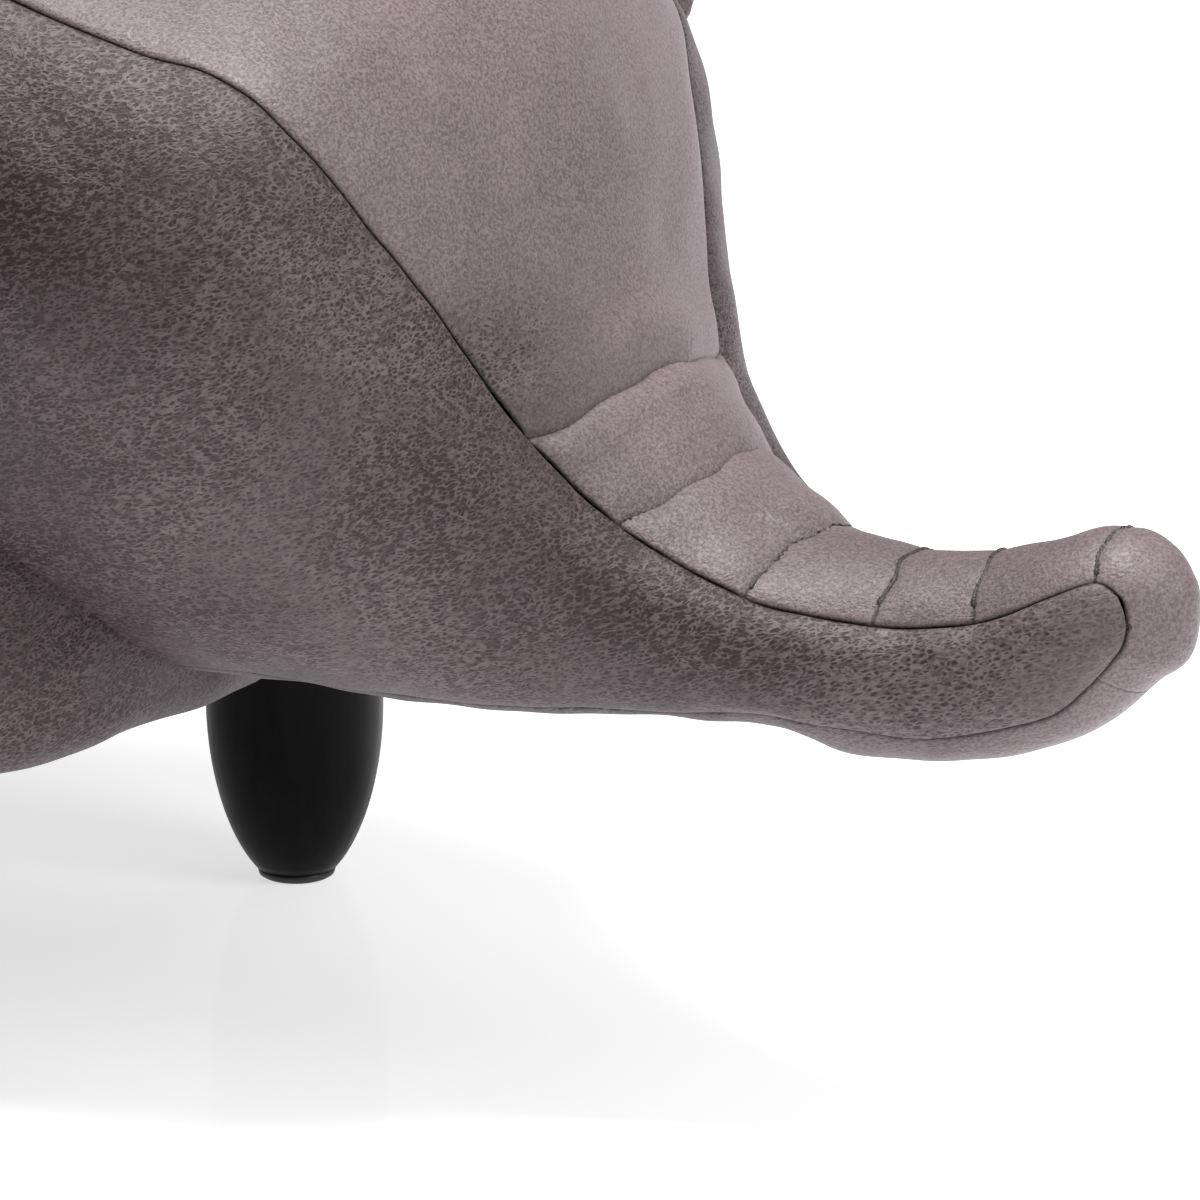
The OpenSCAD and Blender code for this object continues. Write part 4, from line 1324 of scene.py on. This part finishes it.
class STOOL_OT_tail(bpy.types.Operator):
    """Stuffed leather tail with a yarn tuft"""

    bl_idname = "stool.tail"
    bl_label = "Tail"

    def execute(self, context):
        self.cord()
        self.tuft()
        return {"FINISHED"}

    def cord(self):
        low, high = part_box("tail_cord")
        x = (low.x + high.x) / 2
        radius = (high.x - low.x) / 2
        length = high.z - low.z

        def surface(v, f):
            turn = 2 * math.pi * f
            end = np.sqrt(np.clip(1 - np.clip((v - 0.94) / 0.06, 0, 1) ** 2, 0.02, 1))
            r = (radius - 0.0012 * (1 - v)) * end + 0.0003 * np.sin(v * 34)
            height = low.z + length * v + 0 * f
            return np.stack([x + r * np.cos(turn), r * np.sin(turn), height], -1)

        patch = Patch("tail_leather", surface, np.linspace(0, 1, 90), np.linspace(0, 1, 49),
                      flip=True)
        near = patch.near_edge(*SIDE_EDGES)
        patch.push(0.0002 * ripples(patch.points, 0.012, 4) * smooth_step(near, 0, 0.003)
                   - 0.0008 * np.exp(-(near / 0.0012) ** 2))
        obj = leather_piece(patch, 0.1, np.exp(-(near / 0.0008) ** 2))
        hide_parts("tail_cord")
        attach(obj, "tail")
        n = patch.normals()
        stitches("tail_stitches", stitch_line(patch.points[3:-6, 0], n[3:-6, 2]), "tail")

    def tuft(self):
        low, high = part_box("tail_tuft")
        x = (low.x + high.x) / 2
        rng = np.random.default_rng(12)
        bm = bmesh.new()
        strands, golden_angle = 110, 2.39996
        for number in range(strands):
            turn = number * golden_angle
            spread = math.sqrt((number + 0.5) / strands)
            self.strand(bm, x, high.z + 0.004, low.z, turn, spread, rng)
        mesh = mesh_of(bm, "tail_tuft_strands")
        obj = shown("tail_tuft_strands", mesh, slot_finish("tuft_yarn"))
        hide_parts("tail_tuft")
        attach(obj, "tail")

    @staticmethod
    def strand(bm, x, top, bottom, turn, spread, rng):
        """One yarn strand: a tapered tube that swells out and hangs in again."""
        length = (top - bottom) * rng.uniform(0.82, 1.0)
        phase = rng.uniform(0, 2 * math.pi)
        steps = 9
        made = bmesh.ops.create_circle(bm, cap_ends=False, radius=0.0006, segments=5)
        ring = made["verts"]
        bmesh.ops.translate(bm, verts=ring, vec=(x, 0, top))
        edges = list({e for v in ring for e in v.link_edges})
        last = Vector((x, 0, top))
        for k in range(1, steps + 1):
            u = k / steps
            bow = 0.0068 * spread * (math.sin(min(1, u * 1.3) * math.pi * 0.62) + 0.15 * u)
            centre = Vector((x + bow * math.cos(turn) + 0.0005 * math.sin(phase + 5 * u),
                             bow * math.sin(turn) + 0.0005 * math.cos(phase + 6 * u),
                             top - length * u))
            out = bmesh.ops.extrude_edge_only(bm, edges=edges)["geom"]
            ring = [g for g in out if isinstance(g, bmesh.types.BMVert)]
            edges = [g for g in out if isinstance(g, bmesh.types.BMEdge)
                     and all(v in ring for v in g.verts)]
            bmesh.ops.translate(bm, verts=ring, vec=centre - last)
            if k == steps:
                bmesh.ops.scale(bm, vec=(0.35, 0.35, 1), verts=ring,
                                space=Matrix.Translation(-centre))
                bmesh.ops.holes_fill(bm, edges=edges)
            last = centre


class STOOL_OT_legs(bpy.types.Operator):
    """Turned black legs and their floor glides"""

    bl_idname = "stool.legs"
    bl_label = "Legs"

    def execute(self, context):
        for front in ("front", "rear"):
            for side in ("left", "right"):
                self.leg(f"{front}_{side}")
                self.glide(f"{front}_{side}")
        return {"FINISHED"}

    def turned(self, name, outline, centre, finish, steps=96):
        """A lathe shape about a vertical axis from its outline of radius and height."""
        bm = lathe(outline, steps)
        bmesh.ops.translate(bm, verts=bm.verts, vec=centre)
        obj = shown(name, mesh_of(bm, name), slot_finish(finish))
        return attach(obj, "stool")

    def leg(self, place):
        low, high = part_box(f"leg_{place}")
        radius = (high.x - low.x) / 2
        centre = ((low.x + high.x) / 2, (low.y + high.y) / 2, 0)
        round_z, round_h = 0.060, 0.064
        outline = [(0.0, low.z), (0.008, low.z)]
        for z in np.linspace(low.z + 0.0006, round_z, 26):
            outline.append((radius * math.sqrt(1 - ((round_z - z) / round_h) ** 2), z))
        outline += [(radius, z) for z in np.linspace(round_z + 0.006, high.z - 0.003, 7)]
        outline += [(radius - 0.0004, high.z - 0.0012), (radius - 0.0016, high.z - 0.0003),
                    (radius - 0.003, high.z), (0.0, high.z)]
        obj = self.turned(f"turned_leg_{place}", outline, centre, "black_lacquer")
        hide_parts(f"leg_{place}")

    def glide(self, place):
        low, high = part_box(f"glide_{place}")
        radius = (high.x - low.x) / 2
        centre = ((low.x + high.x) / 2, (low.y + high.y) / 2, 0)
        outline = [(0.0, low.z), (radius - 0.003, low.z), (radius - 0.0012, low.z + 0.0002),
                   (radius - 0.0003, low.z + 0.0008), (radius, low.z + 0.0018),
                   (radius, high.z), (0.0, high.z)]
        obj = self.turned(f"floor_glide_{place}", outline, centre, "black_plastic", 64)
        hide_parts(f"glide_{place}")


class STOOL_OT_frame_parts(bpy.types.Operator):
    """Finishes for the frame and fixings, which no other piece stands for"""

    bl_idname = "stool.frame_parts"
    bl_label = "Frame and fixings"

    def execute(self, context):
        slots = {row["node"]: row["material_slot"] for row in frame["record"]["subparts"]}
        for node, obj in frame["nodes"].items():
            if obj.hide_render:
                continue
            slot = slots[node]
            obj.data.materials.clear()
            obj.data.materials.append(slot_finish(slot))
        return {"FINISHED"}


class STOOL_PT_sidebar(bpy.types.Panel):
    """Lists the stool's pieces and sizes"""

    bl_label = "Elephant footstool"
    bl_idname = "STOOL_PT_sidebar"
    bl_space_type = "VIEW_3D"
    bl_region_type = "UI"
    bl_category = "Footstool"

    def draw(self, context):
        column = self.layout.column()
        for group in (context.scene.stool_sewing, context.scene.stool_colours,
                      context.scene.stool_stage):
            for key in group.__annotations__:
                column.prop(group, key)
        for operator in OPERATORS:
            column.operator(operator.bl_idname)


GROUPS = {"stool_sewing": StoolSewing, "stool_colours": StoolColours, "stool_stage": StoolStage}
OPERATORS = (STOOL_OT_stage, STOOL_OT_head, STOOL_OT_torso, STOOL_OT_ears, STOOL_OT_eyes,
             STOOL_OT_tail, STOOL_OT_legs, STOOL_OT_frame_parts)


def register():
    for name, group in GROUPS.items():
        bpy.utils.register_class(group)
        setattr(bpy.types.Scene, name, PointerProperty(type=group))
    for operator in OPERATORS:
        bpy.utils.register_class(operator)
    bpy.utils.register_class(STOOL_PT_sidebar)


def unregister():
    bpy.utils.unregister_class(STOOL_PT_sidebar)
    for operator in reversed(OPERATORS):
        bpy.utils.unregister_class(operator)
    for name, group in GROUPS.items():
        delattr(bpy.types.Scene, name)
        bpy.utils.unregister_class(group)


def main():
    register()
    bpy.ops.stool.stage()
    bpy.ops.stool.head()
    bpy.ops.stool.torso()
    bpy.ops.stool.ears()
    bpy.ops.stool.eyes()
    bpy.ops.stool.tail()
    bpy.ops.stool.legs()
    bpy.ops.stool.frame_parts()


if __name__ == "__main__":
    main()
